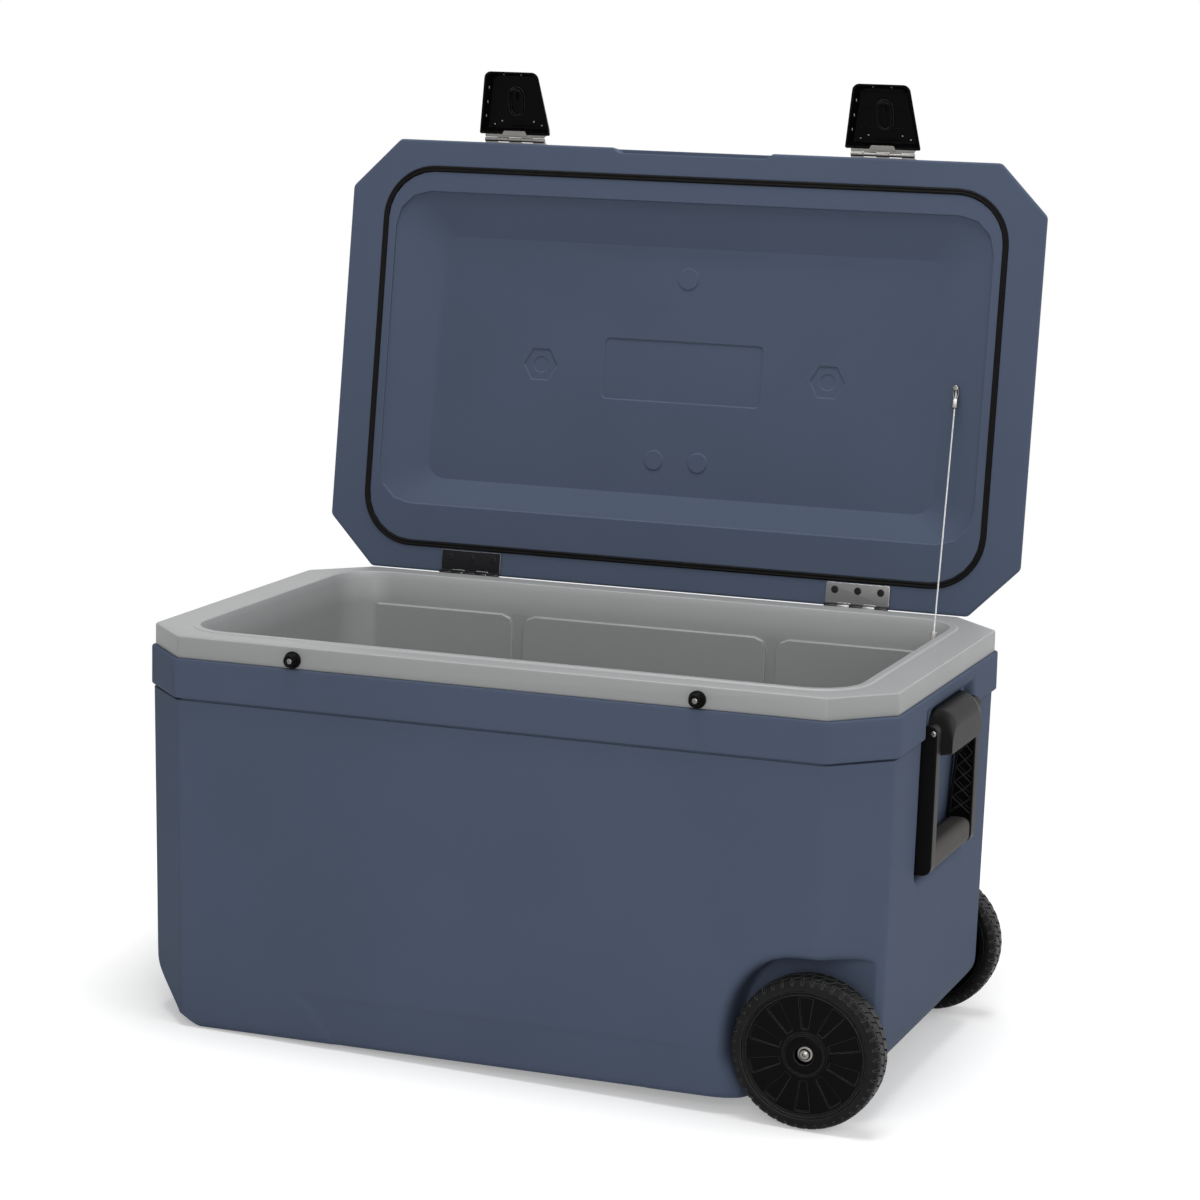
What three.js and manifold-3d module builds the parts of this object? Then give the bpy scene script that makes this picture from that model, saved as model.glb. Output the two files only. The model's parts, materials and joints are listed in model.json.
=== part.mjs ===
// A wheeled hard cooler with its lid open against the stay cable, in millimetres with +Z up
import * as THREE from 'three';
import { mergeVertices } from 'three/addons/utils/BufferGeometryUtils.js';
import Module from 'manifold-3d';

const wasm = await Module();
wasm.setup();

// Driving dimensions. The cooler's own frame has z = 0 at the top of the rim and x, y = 0 at its middle
const gap = 0.3;
const overrun = 20;
const shortOverrun = 5;
const roundSegments = 36;
const middleSegments = 20;
const bossSegments = 16;
const smallSegments = 12;
const screwSegments = 8;
const edgeSteps = 2;
const curveSteps = 3;
const cornerSteps = 6;

const rim = {
  halfLength: 400,
  halfDepth: 241.7,
  chamferLength: 54.7,
  chamferDepth: 56.8,
  cornerRadius: 7,
  height: 22.6,
  wall: 3.5,
  edgeRadius: 2.5,
  lipWidth: 8,
  lipHeight: 1.2,
};

// Distances in from the rim's ends, or out from them where negative
const fromEnd = {
  leftWall: -0.9,
  rightWall: 1.5,
  tub: 44,
  step: 162,
  panel: 63,
  wheel: 66.8,
  handlePivot: -8.2,
  bailOuter: -11,
  bailUpperInner: 7,
  bailLowerInner: 17,
  bracketBack: 2,
  bracketFront: -21,
  pocketUpper: 9,
  pocketLower: 19.5,
  lid: -6.3,
  recess: 50,
  recessFloor: 102,
  gasket: 37.5,
  hinge: 172,
  latch: 184.5,
  stud: 185,
  stayOnTub: 52.5,
  stayOnLid: 82,
};
// The same from the rim's front and back, and distances up from the body's bottom
const fromSide = { tub: 34.7, wheelFace: -0.3, well: 51.7, lid: -2.3, stayOnTub: 117.2 };
const fromBottom = { tubFloor: 68, step: 163, wheel: 58.6 };

const shell = {
  height: 413,
  wall: 3.5,
  leftEnd: rim.halfLength - fromEnd.leftWall,
  leftTaper: 2.9,
  rightEnd: rim.halfLength - fromEnd.rightWall,
  rightTaper: 5.3,
  taperDepth: 4.5,
  chamferDepth: 53.8,
  edgeRadius: 8,
  bevelHeight: 56,
  leftBevel: 73,
  rightBevel: 38,
};
const collar = { outset: 3, height: 41.9, shoulder: 3.5, edgeRadius: 2.5, wallInset: 1.5, notchShoulder: 6 };
const frontInset = { halfTop: 208, halfBottom: 168, height: 50, depth: 2.5, cornerRadius: 6 };
const tub = {
  halfLength: rim.halfLength - fromEnd.tub,
  halfDepth: rim.halfDepth - fromSide.tub,
  cornerRadius: 48,
  wall: 3.5,
  depth: shell.height - fromBottom.tubFloor,
  mouthDrop: 6,
  mouthInset: 4,
  ledgeDrop: 33,
  ledgeInset: 6.5,
  taper: 4.5,
  floorRadius: 24,
  stepStart: rim.halfLength - fromEnd.step,
  stepSlope: 12,
  stepDepth: shell.height - fromBottom.step,
  stepRadius: 10,
};
const panel = {
  top: 34,
  bulge: 4,
  cornerRadius: 13,
  outerEnd: rim.halfLength - fromEnd.panel,
  grooveCentre: 148,
  grooveWidth: 13,
};
const wheel = {
  radius: 76.2,
  width: 37,
  fromMiddle: rim.halfLength - fromEnd.wheel,
  belowRim: shell.height - fromBottom.wheel,
  outerFace: rim.halfDepth - fromSide.wheelFace,
  rimRadius: 63.5,
  shoulder: 5,
  treadGroove: 2.5,
  faceRecess: 2,
  plate: 4,
  rimWall: 4,
  hubRadius: 21,
  hubRise: 1.2,
  pocketCount: 10,
  pocketInner: 26,
  pocketOuter: 57,
  pocketDepth: 2.5,
  pocketAngle: 15,
};
const axle = { radius: 6, tunnelWall: 4, nutRadius: 8, nutTopRadius: 4.8, nutEdge: 2.4, nutLength: 7 };
const well = {
  innerFace: rim.halfDepth - fromSide.well,
  topHalf: 52,
  shoulderHalf: 74,
  bottomHalf: 90,
  shoulderDrop: 42,
  headroom: 20,
  cornerRadius: 14,
  flare: 6,
  flareDepth: 20,
};
const bail = {
  pivotX: rim.halfLength - fromEnd.handlePivot,
  pivotDrop: 59.3,
  inside: 70,
  outside: 84,
  outerX: rim.halfLength - fromEnd.bailOuter,
  upperInnerX: rim.halfLength - fromEnd.bailUpperInner,
  lowerInnerX: rim.halfLength - fromEnd.bailLowerInner,
  length: 145,
  endRadius: 9,
  earRadius: 12,
  barRise: 22,
  barHalfHeight: 11,
  barHalfDepth: 8,
  barRadius: 5.6,
  gripThickness: 5,
  ribDepth: 5,
  ribWall: 2.2,
  ribMargin: 3,
  ribCount: 6,
  flange: 7,
  clearBelow: 4.2,
  clearBeside: 3,
  bracketGap: 1,
};
const bracket = {
  backX: rim.halfLength - fromEnd.bracketBack,
  frontX: rim.halfLength - fromEnd.bracketFront,
  halfWidth: bail.inside - bail.bracketGap,
  frontHalfWidth: 58,
  topDrop: 38,
  frontTopDrop: 54,
  bottomDrop: 86,
  cornerRadius: 16,
  frontCornerRadius: 11,
};
const pivotScrew = { radius: 2, hole: 2.4, depth: 14, headRadius: 5, head: 1.5 };
const pocket = {
  halfWidth: bail.outside + bail.clearBeside,
  topDrop: 44,
  bottomDrop: bail.pivotDrop + bail.length + bail.clearBelow,
  upperX: rim.halfLength - fromEnd.pocketUpper,
  lowerX: rim.halfLength - fromEnd.pocketLower,
  cornerRadius: 6,
};
const notch = { halfWidth: pocket.halfWidth + collar.notchShoulder, topDrop: 33, cornerRadius: 5 };
const lid = {
  halfLength: rim.halfLength - fromEnd.lid,
  halfDepth: rim.halfDepth - fromSide.lid,
  chamferLength: 54.4,
  chamferDepth: 55,
  cornerRadius: 7,
  thickness: 50,
  endDraft: 13,
  rimGap: 3,
  wall: 3,
  edgeRadius: 12,
  lowerEdgeRadius: 2,
  seamRise: 9,
  grooveFloor: 1.5,
  hingeBack: 1.22,
  hingeDrop: 4.65,
  opening: 98.1,
  recessHalfLength: rim.halfLength - fromEnd.recess,
  recessBack: 75,
  recessFront: 58,
  floorHalfLength: rim.halfLength - fromEnd.recessFloor,
  floorBack: 105,
  floorFront: 107,
  recessRadius: 40,
  recessDepth: 20,
  recessLip: 3,
  fingerHalfWidth: 94,
  fingerDepth: 6,
  fingerHeight: 22,
  fingerSlope: 8,
};
const lidMarks = {
  depth: 1,
  dimpleDepth: 1.5,
  bossRadius: 12,
  bossFromBack: 347,
  hexRadius: 20,
  hexX: 169,
  hexFromBack: 242.5,
  dimpleRadius: 9,
  labelHalfWidth: 93,
  labelBack: 209,
  labelFront: 277,
  labelRadius: 5,
  discRadius: 11,
  discX: 26,
  discFromBack: 143.6,
};
const gasket = {
  halfLength: rim.halfLength - fromEnd.gasket,
  back: 30,
  front: 32.5,
  radius: 57,
  width: 6.5,
  height: 4,
  standOut: 1.5,
  sideGap: 0.15,
};
const hinge = {
  x: rim.halfLength - fromEnd.hinge,
  width: 72,
  leaf: 1.8,
  lidLeafLength: 27,
  bodyLeafLength: 30,
  knuckleRadius: 3.5,
  pinRadius: 1.6,
  knuckles: 5,
  knuckleGap: 0.4,
  screwPitch: 26,
  screwFromAxis: 19,
  screwHeadRadius: 4,
  screwHead: 0.5,
  screwRadius: 1.8,
  notchMargin: 4,
  rimNotch: 1.5,
};
const latch = {
  x: rim.halfLength - fromEnd.latch,
  axisBehind: 10,
  axisOut: 4.5,
  lean: 20,
  baseOut: 10.5,
  length: 72.1,
  baseHalfWidth: 43.1,
  tipHalfWidth: 31.9,
  baseRadius: 2,
  tipRadius: 8.5,
  sideDraft: 5.5,
  baseDraft: 3,
  tipDraft: 5,
  depth: 14,
  wall: 2.4,
  backEdge: 2,
  leafHalfWidth: 36,
  leaf: 1.4,
  leafHeight: 19,
  tabHeight: 9,
  knuckleRadius: 2.4,
  pinRadius: 1.1,
  knuckles: 5,
  keyholeFromAxis: 41.5,
  keyholeHalfWidth: 9,
  keyholeHalfLength: 16.5,
  keyholeWall: 3,
  keyholeHeight: 4.5,
  lowRib: 27.5,
  middleRib: 50,
  topRib: 67,
  ribHeight: 1.5,
  ribWidth: 1.6,
};
const stud = {
  x: rim.halfLength - fromEnd.stud,
  drop: 13.5,
  flangeRadius: 7.4,
  flange: 3.4,
  noseRadius: 6,
  length: 10.6,
  noseRound: 2,
  screwRadius: 1.5,
  headRadius: 2.8,
  head: 1.3,
};
const stay = {
  lidX: rim.halfLength - fromEnd.stayOnLid,
  lidFromBack: 245,
  lidRise: 9,
  tubX: rim.halfLength - fromEnd.stayOnTub,
  tubY: rim.halfDepth - fromSide.stayOnTub,
  tubDrop: 20,
  radius: 1,
  ferruleRadius: 2.5,
  ferruleStart: 9,
  ferruleLength: 16,
  studRadius: 2,
  headStandoff: 3.8,
  endGap: 1.1,
  headRadius: 4,
  head: 1.8,
  studReach: 6,
};
const drain = {
  fromFloor: 14,
  bore: 8,
  wall: 3,
  flangeRadius: 19,
  flange: 3,
  sealRadius: 13,
  seal: 2.5,
  stemRadius: 7.5,
  stemLength: 22,
  capRadius: 15,
  cap: 7,
  wingHalfWidth: 3,
  wingHeight: 6,
};

// Shares of the end bevel's height and width, from the bottom up
const bevelHeightShares = [0, 0.07, 0.19, 0.45, 0.7, 0.85, 1];
const bevelInsetShares = [1, 0.925, 0.78, 0.467, 0.166, 0.04, 0];
// The least of a chamfer that a cut end keeps
const chamferShare = 0.05;
// Shares of the bracket's depth and of its rounding, from its back to its front
const bracketDepthShares = [0, 0.35, 0.65, 0.88, 1];
const bracketRoundShares = [0, 0.04, 0.18, 0.52, 1];
// Shares of an edge's radius that follow a quarter circle: how far along it, and how far in
const quarterSteps = 2;
const quarterShares = Array.from({ length: quarterSteps + 1 }, (_, step) => {
  const angle = (Math.PI / 2) * (step / quarterSteps);
  return { along: Math.sin(angle), inward: 1 - Math.cos(angle) };
});

// Materials
const finish = (color, roughness, metalness = 0) => (
  new THREE.MeshStandardMaterial({ color, roughness, metalness })
);
const bluePlastic = finish(0x4c5768, 0.55);
const greyPlastic = finish(0xa8a8a6, 0.5);
const blackPlastic = finish(0x0f0f11, 0.4);
const rubber = finish(0x161617, 0.8);
const softGrip = finish(0x4f4b49, 0.7);
const foam = finish(0xd9d2b4, 0.9);
const steel = finish(0xb8b8ba, 0.3, 1);
const blackMetal = finish(0x18181a, 0.35, 0.6);

// Solids and meshes
const vector = (x, y, z) => new THREE.Vector3(x, y, z);
const point = (x, y) => new THREE.Vector2(x, y);

function signedVolume(geometry) {
  const position = geometry.attributes.position;
  const corner = (index) => new THREE.Vector3().fromBufferAttribute(position, geometry.index.getX(index));
  let total = 0;
  for (let face = 0; face < geometry.index.count; face += 3) {
    total += corner(face).dot(corner(face + 1).cross(corner(face + 2)));
  }
  return total;
}

function solid(geometry) {
  const bare = geometry.clone();
  bare.deleteAttribute('normal');
  bare.deleteAttribute('uv');
  const merged = mergeVertices(bare);
  const triVerts = Uint32Array.from(merged.index.array);
  if (signedVolume(merged) < 0) {
    triVerts.reverse();
  }
  const vertProperties = Float32Array.from(merged.attributes.position.array);
  return new wasm.Manifold(new wasm.Mesh({ numProp: 3, vertProperties, triVerts }));
}

function join(first, ...others) {
  return others.reduce((whole, part) => whole.add(part), first);
}

function cut(from, ...tools) {
  return tools.reduce((left, tool) => left.subtract(tool), from);
}

function surface(shape) {
  const result = shape.getMesh();
  const geometry = new THREE.BufferGeometry();
  geometry.setAttribute('position', new THREE.BufferAttribute(Float32Array.from(result.vertProperties), 3));
  geometry.setIndex(new THREE.BufferAttribute(Uint32Array.from(result.triVerts), 1));
  return geometry;
}

const mirrorY = (shape) => solid(surface(shape).scale(1, -1, 1));
const mirrorX = (shape) => solid(surface(shape).scale(-1, 1, 1));
const frontAndBack = (shape) => shape.add(mirrorY(shape));
const bothEnds = (shape) => shape.add(mirrorX(shape));

function piece(name, shape, material) {
  const geometry = surface(shape);
  geometry.computeVertexNormals();
  const mesh = new THREE.Mesh(geometry, material);
  mesh.name = name;
  return mesh;
}

// Rings of equal point counts, from low to high, closed at both ends
function loft(rings) {
  const count = rings[0].points.length;
  const positions = rings.flatMap((ring) => ring.points.flatMap((p) => [p.x, p.y, ring.z]));
  const indices = [];
  for (let level = 0; level + 1 < rings.length; level += 1) {
    for (let side = 0; side < count; side += 1) {
      const a = level * count + side;
      const b = level * count + ((side + 1) % count);
      indices.push(a, b, b + count, a, b + count, a + count);
    }
  }
  const top = (rings.length - 1) * count;
  THREE.ShapeUtils.triangulateShape(rings[0].points, []).forEach(([a, b, c]) => indices.push(c, b, a));
  THREE.ShapeUtils.triangulateShape(rings.at(-1).points, []).forEach(([a, b, c]) => {
    indices.push(top + a, top + b, top + c);
  });
  const geometry = new THREE.BufferGeometry();
  geometry.setAttribute('position', new THREE.Float32BufferAttribute(positions, 3));
  geometry.setIndex(indices);
  return geometry;
}

const prism = (points, low, high) => loft([{ points, z: low }, { points, z: high }]);

// An outline in x and z that runs along y, or in y and z that runs along x
const turnAlongY = (geometry) => geometry.rotateX(Math.PI / 2);
const alongY = (points, low, high) => turnAlongY(prism(points, -high, -low));
const ontoX = new THREE.Matrix4().makeBasis(vector(0, 1, 0), vector(0, 0, 1), vector(1, 0, 0));
const alongX = (points, low, high) => prism(points, low, high).applyMatrix4(ontoX);

function box(x0, x1, y0, y1, z0, z1) {
  const geometry = new THREE.BoxGeometry(x1 - x0, y1 - y0, z1 - z0);
  return solid(geometry.translate((x0 + x1) / 2, (y0 + y1) / 2, (z0 + z1) / 2));
}

// Corners of an outline, each replaced by an arc that touches both its sides, with one radius or one for each
function rounded(corners, radii, steps = edgeSteps) {
  return corners.flatMap((corner, index) => {
    const radius = radii[index] ?? radii;
    const toBefore = corners.at(index - 1).clone().sub(corner).normalize();
    const toAfter = corners[(index + 1) % corners.length].clone().sub(corner).normalize();
    const halfAngle = Math.acos(toBefore.dot(toAfter)) / 2;
    const middle = toBefore.clone().add(toAfter).normalize();
    const centre = corner.clone().addScaledVector(middle, radius / Math.sin(halfAngle));
    const start = corner.clone().addScaledVector(toBefore, radius / Math.tan(halfAngle));
    const turn = Math.sign(toBefore.cross(toAfter)) * (2 * halfAngle - Math.PI);
    return Array.from({ length: steps + 1 }, (_, step) => (
      start.clone().rotateAround(centre, turn * (step / steps))
    ));
  });
}

const rectangle = (x0, x1, y0, y1) => [point(x0, y0), point(x1, y0), point(x1, y1), point(x0, y1)];
const roundedBox = (x0, x1, y0, y1, radius, steps) => rounded(rectangle(x0, x1, y0, y1), radius, steps);
const circle = (radius, count, x = 0, y = 0) => Array.from({ length: count }, (_, index) => {
  const angle = (2 * Math.PI * index) / count;
  return point(x + radius * Math.cos(angle), y + radius * Math.sin(angle));
});

// A profile of radius and height turned round z, then laid along the axis it is asked for
const layAlong = {
  x: (geometry) => geometry.rotateZ(-Math.PI / 2),
  y: (geometry) => geometry,
  z: (geometry) => geometry.rotateX(Math.PI / 2),
};
function turned(profile, axis, segments = smallSegments) {
  return layAlong[axis](new THREE.LatheGeometry(profile.map(([r, h]) => point(r, h)), segments));
}
function rod(radius, low, high, axis, segments = smallSegments) {
  return turned([[0, low], [radius, low], [radius, high], [0, high]], axis, segments);
}
function tube(inner, outer, low, high, axis, segments = smallSegments) {
  const profile = [[inner, low], [outer, low], [outer, high], [inner, high], [inner, low]];
  return turned(profile, axis, segments);
}

// The eight-sided outline that the body, the rim and the lid share
const rimChamfer = { length: rim.chamferLength, depth: rim.chamferDepth, radius: rim.cornerRadius };
const wallChamfer = { length: rim.chamferLength, depth: shell.chamferDepth, radius: rim.cornerRadius };
const lidChamfer = { length: lid.chamferLength, depth: lid.chamferDepth, radius: lid.cornerRadius };

function eightSided(left, right, halfDepth, leftChamfer, rightChamfer = leftChamfer) {
  const corners = [
    point(right, -halfDepth + rightChamfer.depth),
    point(right, halfDepth - rightChamfer.depth),
    point(right - rightChamfer.length, halfDepth),
    point(left + leftChamfer.length, halfDepth),
    point(left, halfDepth - leftChamfer.depth),
    point(left, -halfDepth + leftChamfer.depth),
    point(left + leftChamfer.length, -halfDepth),
    point(right - rightChamfer.length, -halfDepth),
  ];
  const [onLeft, onRight] = [leftChamfer.radius, rightChamfer.radius];
  return rounded(corners, [onRight, onRight, onRight, onLeft, onLeft, onLeft, onLeft, onRight]);
}

// What is left of a chamfer where a plane cuts the end off by the given distance
function shortened(chamfer, distance) {
  const share = Math.max(1 - distance / chamfer.length, chamferShare);
  return {
    length: chamfer.length * share,
    depth: chamfer.depth * share,
    radius: Math.min(chamfer.radius, chamfer.length * share),
  };
}
function rimOutline(outset) {
  const halfLength = rim.halfLength + outset;
  return eightSided(-halfLength, halfLength, rim.halfDepth + outset, rimChamfer);
}

// The lid's ends lean in towards its top, so its outline depends on the height above its underside
function lidOutline(inset, height) {
  const halfLength = lid.halfLength - inset - lid.endDraft * (height / lid.thickness);
  return eightSided(-halfLength, halfLength, lid.halfDepth - inset, lidChamfer);
}

// Outer shell. The same loft, drawn in by an inset, gives its cavity and the foam
const collarBottom = -rim.height - collar.height;
const wallHalfDepth = rim.halfDepth - collar.wallInset;

function shellSection(height, inset) {
  const risen = Math.min(height / (shell.height + collarBottom), 1);
  const share = Math.min(height / shell.bevelHeight, 1);
  const after = Math.max(bevelHeightShares.findIndex((value) => value >= share), 1);
  const [low, high] = [bevelHeightShares[after - 1], bevelHeightShares[after]];
  const [lowInset, highInset] = [bevelInsetShares[after - 1], bevelInsetShares[after]];
  const bevel = THREE.MathUtils.mapLinear(share, low, high, lowInset, highInset);
  const edge = Math.max(shell.edgeRadius - height, 0);
  const edgeInset = shell.edgeRadius - Math.sqrt(shell.edgeRadius ** 2 - edge ** 2);
  const leftCut = shell.leftBevel * bevel;
  const rightCut = shell.rightBevel * bevel;
  return eightSided(
    -shell.leftEnd + shell.leftTaper * (1 - risen) + inset + leftCut,
    shell.rightEnd - shell.rightTaper * (1 - risen) - inset - rightCut,
    wallHalfDepth - shell.taperDepth * (1 - risen) - edgeInset - inset,
    shortened(wallChamfer, leftCut),
    shortened(wallChamfer, rightCut),
  );
}

function shellRings(inset) {
  const lower = bevelHeightShares.map((share) => {
    const height = share * shell.bevelHeight;
    return { points: shellSection(height, inset), z: -shell.height + Math.max(height, inset) };
  });
  const kept = lower.filter((ring, index) => index === 0 || ring.z > lower[index - 1].z);
  const full = collar.outset - inset;
  const shoulderZ = collarBottom - collar.shoulder;
  return [
    ...kept,
    { points: shellSection(shell.height + shoulderZ, inset), z: shoulderZ },
    { points: rimOutline(full - collar.edgeRadius), z: collarBottom },
    { points: rimOutline(full), z: collarBottom + collar.edgeRadius },
  ];
}
function shellLoft(inset, top, narrowTop) {
  const full = collar.outset - inset;
  return solid(loft([
    ...shellRings(inset),
    { points: rimOutline(full), z: top - narrowTop },
    { points: rimOutline(full - narrowTop), z: top },
  ]));
}

// Wheel wells: an outline round the wheel that flares out at its mouth
function wellOutline(grow) {
  const centre = -wheel.belowRim;
  const top = centre + wheel.radius + well.headroom + grow;
  const shoulder = top - well.shoulderDrop;
  const bottom = -shell.height - overrun;
  const x = wheel.fromMiddle;
  return rounded([
    point(x - well.bottomHalf - grow, bottom),
    point(x + well.bottomHalf + grow, bottom),
    point(x + well.shoulderHalf + grow, shoulder),
    point(x + well.topHalf + grow, top),
    point(x - well.topHalf - grow, top),
    point(x - well.shoulderHalf - grow, shoulder),
  ], well.cornerRadius);
}
function wheelWell(grow) {
  const mouth = wallHalfDepth - shell.taperDepth / 2;
  const start = mouth - well.flareDepth;
  const slope = well.flare / well.flareDepth;
  const beyond = mouth + overrun;
  return solid(turnAlongY(loft([
    { points: wellOutline(grow), z: well.innerFace - grow },
    { points: wellOutline(grow), z: start },
    { points: wellOutline(grow + slope * well.flareDepth), z: mouth },
    { points: wellOutline(grow + slope * (well.flareDepth + overrun)), z: beyond },
  ])));
}

// Recesses for the handles: a shallow notch across the collar and a deep pocket below it
function handleRecess(grow) {
  const outside = bracket.frontX + overrun;
  const notchHalf = notch.halfWidth + grow;
  const notchOutline = roundedBox(
    -notchHalf, notchHalf, collarBottom - grow, -notch.topDrop + grow, notch.cornerRadius,
  );
  const shallow = solid(alongX(notchOutline, bracket.backX - gap - grow, outside));
  const slope = (pocket.upperX - pocket.lowerX) / (pocket.bottomDrop - pocket.topDrop);
  const floor = [
    point(pocket.lowerX - grow, -pocket.bottomDrop - grow),
    point(outside, -pocket.bottomDrop - grow),
    point(outside, -pocket.topDrop + grow),
    point(pocket.upperX - grow + slope * grow, -pocket.topDrop + grow),
  ];
  const pocketHalf = pocket.halfWidth + grow;
  const deep = solid(alongY(rounded(floor, pocket.cornerRadius), -pocketHalf, pocketHalf));
  const pad = box(
    pocket.lowerX - grow - overrun,
    bracket.backX - gap - grow,
    -bail.inside + gap + grow,
    bail.inside - gap - grow,
    -bracket.bottomDrop + grow,
    0,
  );
  return bothEnds(shallow.add(deep.subtract(pad)));
}

// Notches across the back of the collar for the lid hinges
const hingeLeafY = rim.halfDepth + gap;
const hingeNotchHalf = hinge.width / 2 + hinge.notchMargin;
const hingeNotchDrop = lid.hingeDrop - lid.rimGap + hinge.bodyLeafLength + hinge.notchMargin;
function hingeNotches(grow) {
  const one = box(
    hinge.x - hingeNotchHalf - grow,
    hinge.x + hingeNotchHalf + grow,
    rim.halfDepth - grow,
    rim.halfDepth + overrun,
    -hingeNotchDrop - grow,
    0,
  );
  return bothEnds(one);
}

// A shallow panel set into the bottom of the front and back
function lowerInset() {
  const bottom = -shell.height - overrun;
  const outline = rounded([
    point(-frontInset.halfBottom, bottom),
    point(frontInset.halfBottom, bottom),
    point(frontInset.halfTop, -shell.height + frontInset.height),
    point(-frontInset.halfTop, -shell.height + frontInset.height),
  ], frontInset.cornerRadius);
  const face = wallHalfDepth - shell.taperDepth - frontInset.depth;
  return frontAndBack(solid(alongY(outline, -face - overrun, -face)));
}

// Places that several pieces share
const wheelZ = -wheel.belowRim;
const drainZ = -tub.depth + drain.fromFloor;
const drainTopShare = (shell.height + drainZ + drain.flangeRadius) / (shell.height + collarBottom);
const endWallAtDrain = shell.leftEnd - shell.leftTaper * (1 - drainTopShare);
const studZ = -stud.drop;

function axleLine(radius, halfLength) {
  return solid(rod(radius, -halfLength, halfLength, 'y').translate(wheel.fromMiddle, 0, wheelZ));
}
function drainLine(radius) {
  return solid(rod(radius, -rim.halfLength - overrun, -tub.halfLength + overrun, 'x', middleSegments)
    .translate(0, 0, drainZ));
}
function cavityOf(inset, top) {
  return cut(
    shellLoft(inset, top, 0),
    frontAndBack(wheelWell(inset)),
    handleRecess(inset),
    hingeNotches(inset),
    axleLine(axle.radius + gap + axle.tunnelWall + inset - shell.wall, shell.height),
  );
}
const shellTop = -rim.height - gap;
function outerShell() {
  const outside = cut(
    shellLoft(0, shellTop, collar.edgeRadius / 2),
    frontAndBack(wheelWell(0)),
    handleRecess(0),
    hingeNotches(0),
    lowerInset(),
  );
  const cavity = cavityOf(shell.wall, shellTop + overrun);
  const walls = cut(outside, cavity, axleLine(axle.radius + gap, shell.height));
  return cut(walls, drainLine(drain.bore + drain.wall + gap), hingeScrewHoles());
}

// Inner liner: rim and tub in one moulding
function tubOutline(halfLength, halfDepth, grow) {
  const radius = tub.cornerRadius + grow;
  return roundedBox(
    -halfLength - grow, halfLength + grow, -halfDepth - grow, halfDepth + grow, radius, cornerSteps,
  );
}
function tubLoft(grow, top) {
  const low = tub.ledgeInset + tub.taper;
  const ring = (inset, z) => ({ points: tubOutline(tub.halfLength - inset, tub.halfDepth - inset, grow), z });
  return solid(loft([
    ...quarterShares.map(({ along, inward }) => (
      ring(low + tub.floorRadius * (1 - along), -tub.depth - grow + tub.floorRadius * inward)
    )),
    ring(tub.ledgeInset, -tub.ledgeDrop),
    ring(tub.mouthInset, -tub.mouthDrop),
    ring(0, rim.lipHeight),
    ring(0, top),
  ]));
}

// Blocks that stand into the tub: the step over the axle and three panels on each long wall
function tubBlocks(shrink) {
  const step = solid(alongY(rounded([
    point(tub.stepStart + shrink, -tub.depth - overrun),
    point(tub.halfLength + overrun, -tub.depth - overrun),
    point(tub.halfLength + overrun, -tub.stepDepth - shrink),
    point(tub.stepStart + tub.stepSlope + shrink, -tub.stepDepth - shrink),
  ], tub.stepRadius), -tub.halfDepth - overrun, tub.halfDepth + overrun));
  const face = tub.halfDepth - tub.ledgeInset - panel.bulge + shrink;
  const lean = Math.atan(tub.taper / (tub.depth - tub.ledgeDrop));
  const edges = [
    [-panel.outerEnd, -panel.grooveCentre - panel.grooveWidth / 2],
    [-panel.grooveCentre + panel.grooveWidth / 2, panel.grooveCentre - panel.grooveWidth / 2],
    [panel.grooveCentre + panel.grooveWidth / 2, panel.outerEnd],
  ];
  const panels = edges.map(([left, right]) => {
    const outline = roundedBox(
      left + shrink, right - shrink, panel.top - tub.depth - overrun, -shrink, panel.cornerRadius,
    );
    const block = alongY(outline, face, tub.halfDepth + overrun);
    block.translate(0, -face, 0).rotateX(-lean).translate(0, face, -panel.top);
    return frontAndBack(solid(block));
  });
  return join(step, ...panels);
}
const tubCavity = (top) => cut(tubLoft(0, top), tubBlocks(0));
const tubOutside = (grow, top) => cut(tubLoft(tub.wall + grow, top), tubBlocks(tub.wall + grow));

function innerLiner() {
  const edge = quarterShares.map(({ along, inward }) => ({
    points: rimOutline(-rim.edgeRadius * inward),
    z: rim.edgeRadius * (along - 1),
  }));
  const plate = solid(loft([{ points: rimOutline(0), z: -rim.height }, ...edge]));
  const underside = solid(prism(rimOutline(-rim.wall), -rim.height - overrun, -rim.wall));
  const lip = solid(loft([
    { points: tubOutline(tub.halfLength, tub.halfDepth, rim.lipWidth), z: -rim.wall / 2 },
    { points: tubOutline(tub.halfLength, tub.halfDepth, rim.lipWidth), z: 0 },
    { points: tubOutline(tub.halfLength, tub.halfDepth, rim.lipWidth - rim.lipHeight), z: rim.lipHeight },
  ]));
  const whole = join(cut(plate, underside), tubOutside(0, -rim.wall / 2), lip);
  const hingeRecess = bothEnds(box(
    hinge.x - hingeNotchHalf,
    hinge.x + hingeNotchHalf,
    rim.halfDepth - hinge.rimNotch,
    rim.halfDepth + overrun,
    lid.rimGap - lid.hingeDrop - hinge.knuckleRadius - hinge.notchMargin,
    overrun,
  ));
  return cut(
    whole,
    tubCavity(overrun),
    hingeRecess,
    hingeScrewHoles(),
    studScrewHoles(),
    drainLine(drain.bore + drain.wall + gap),
    stayHole(),
  );
}

// Foam that fills the space between the shell and the liner
function bodyFoam() {
  const inset = shell.wall + gap;
  const top = -rim.wall - gap;
  const lower = cavityOf(inset, shellTop - collar.edgeRadius);
  const upper = cut(
    solid(prism(rimOutline(-rim.wall - gap), shellTop - collar.edgeRadius - gap, top)),
    handleRecess(inset),
    hingeNotches(inset),
  );
  const bush = drainLine(drain.bore + drain.wall + gap * 2);
  return cut(join(lower, upper), tubOutside(gap, overrun), bush);
}

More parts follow.
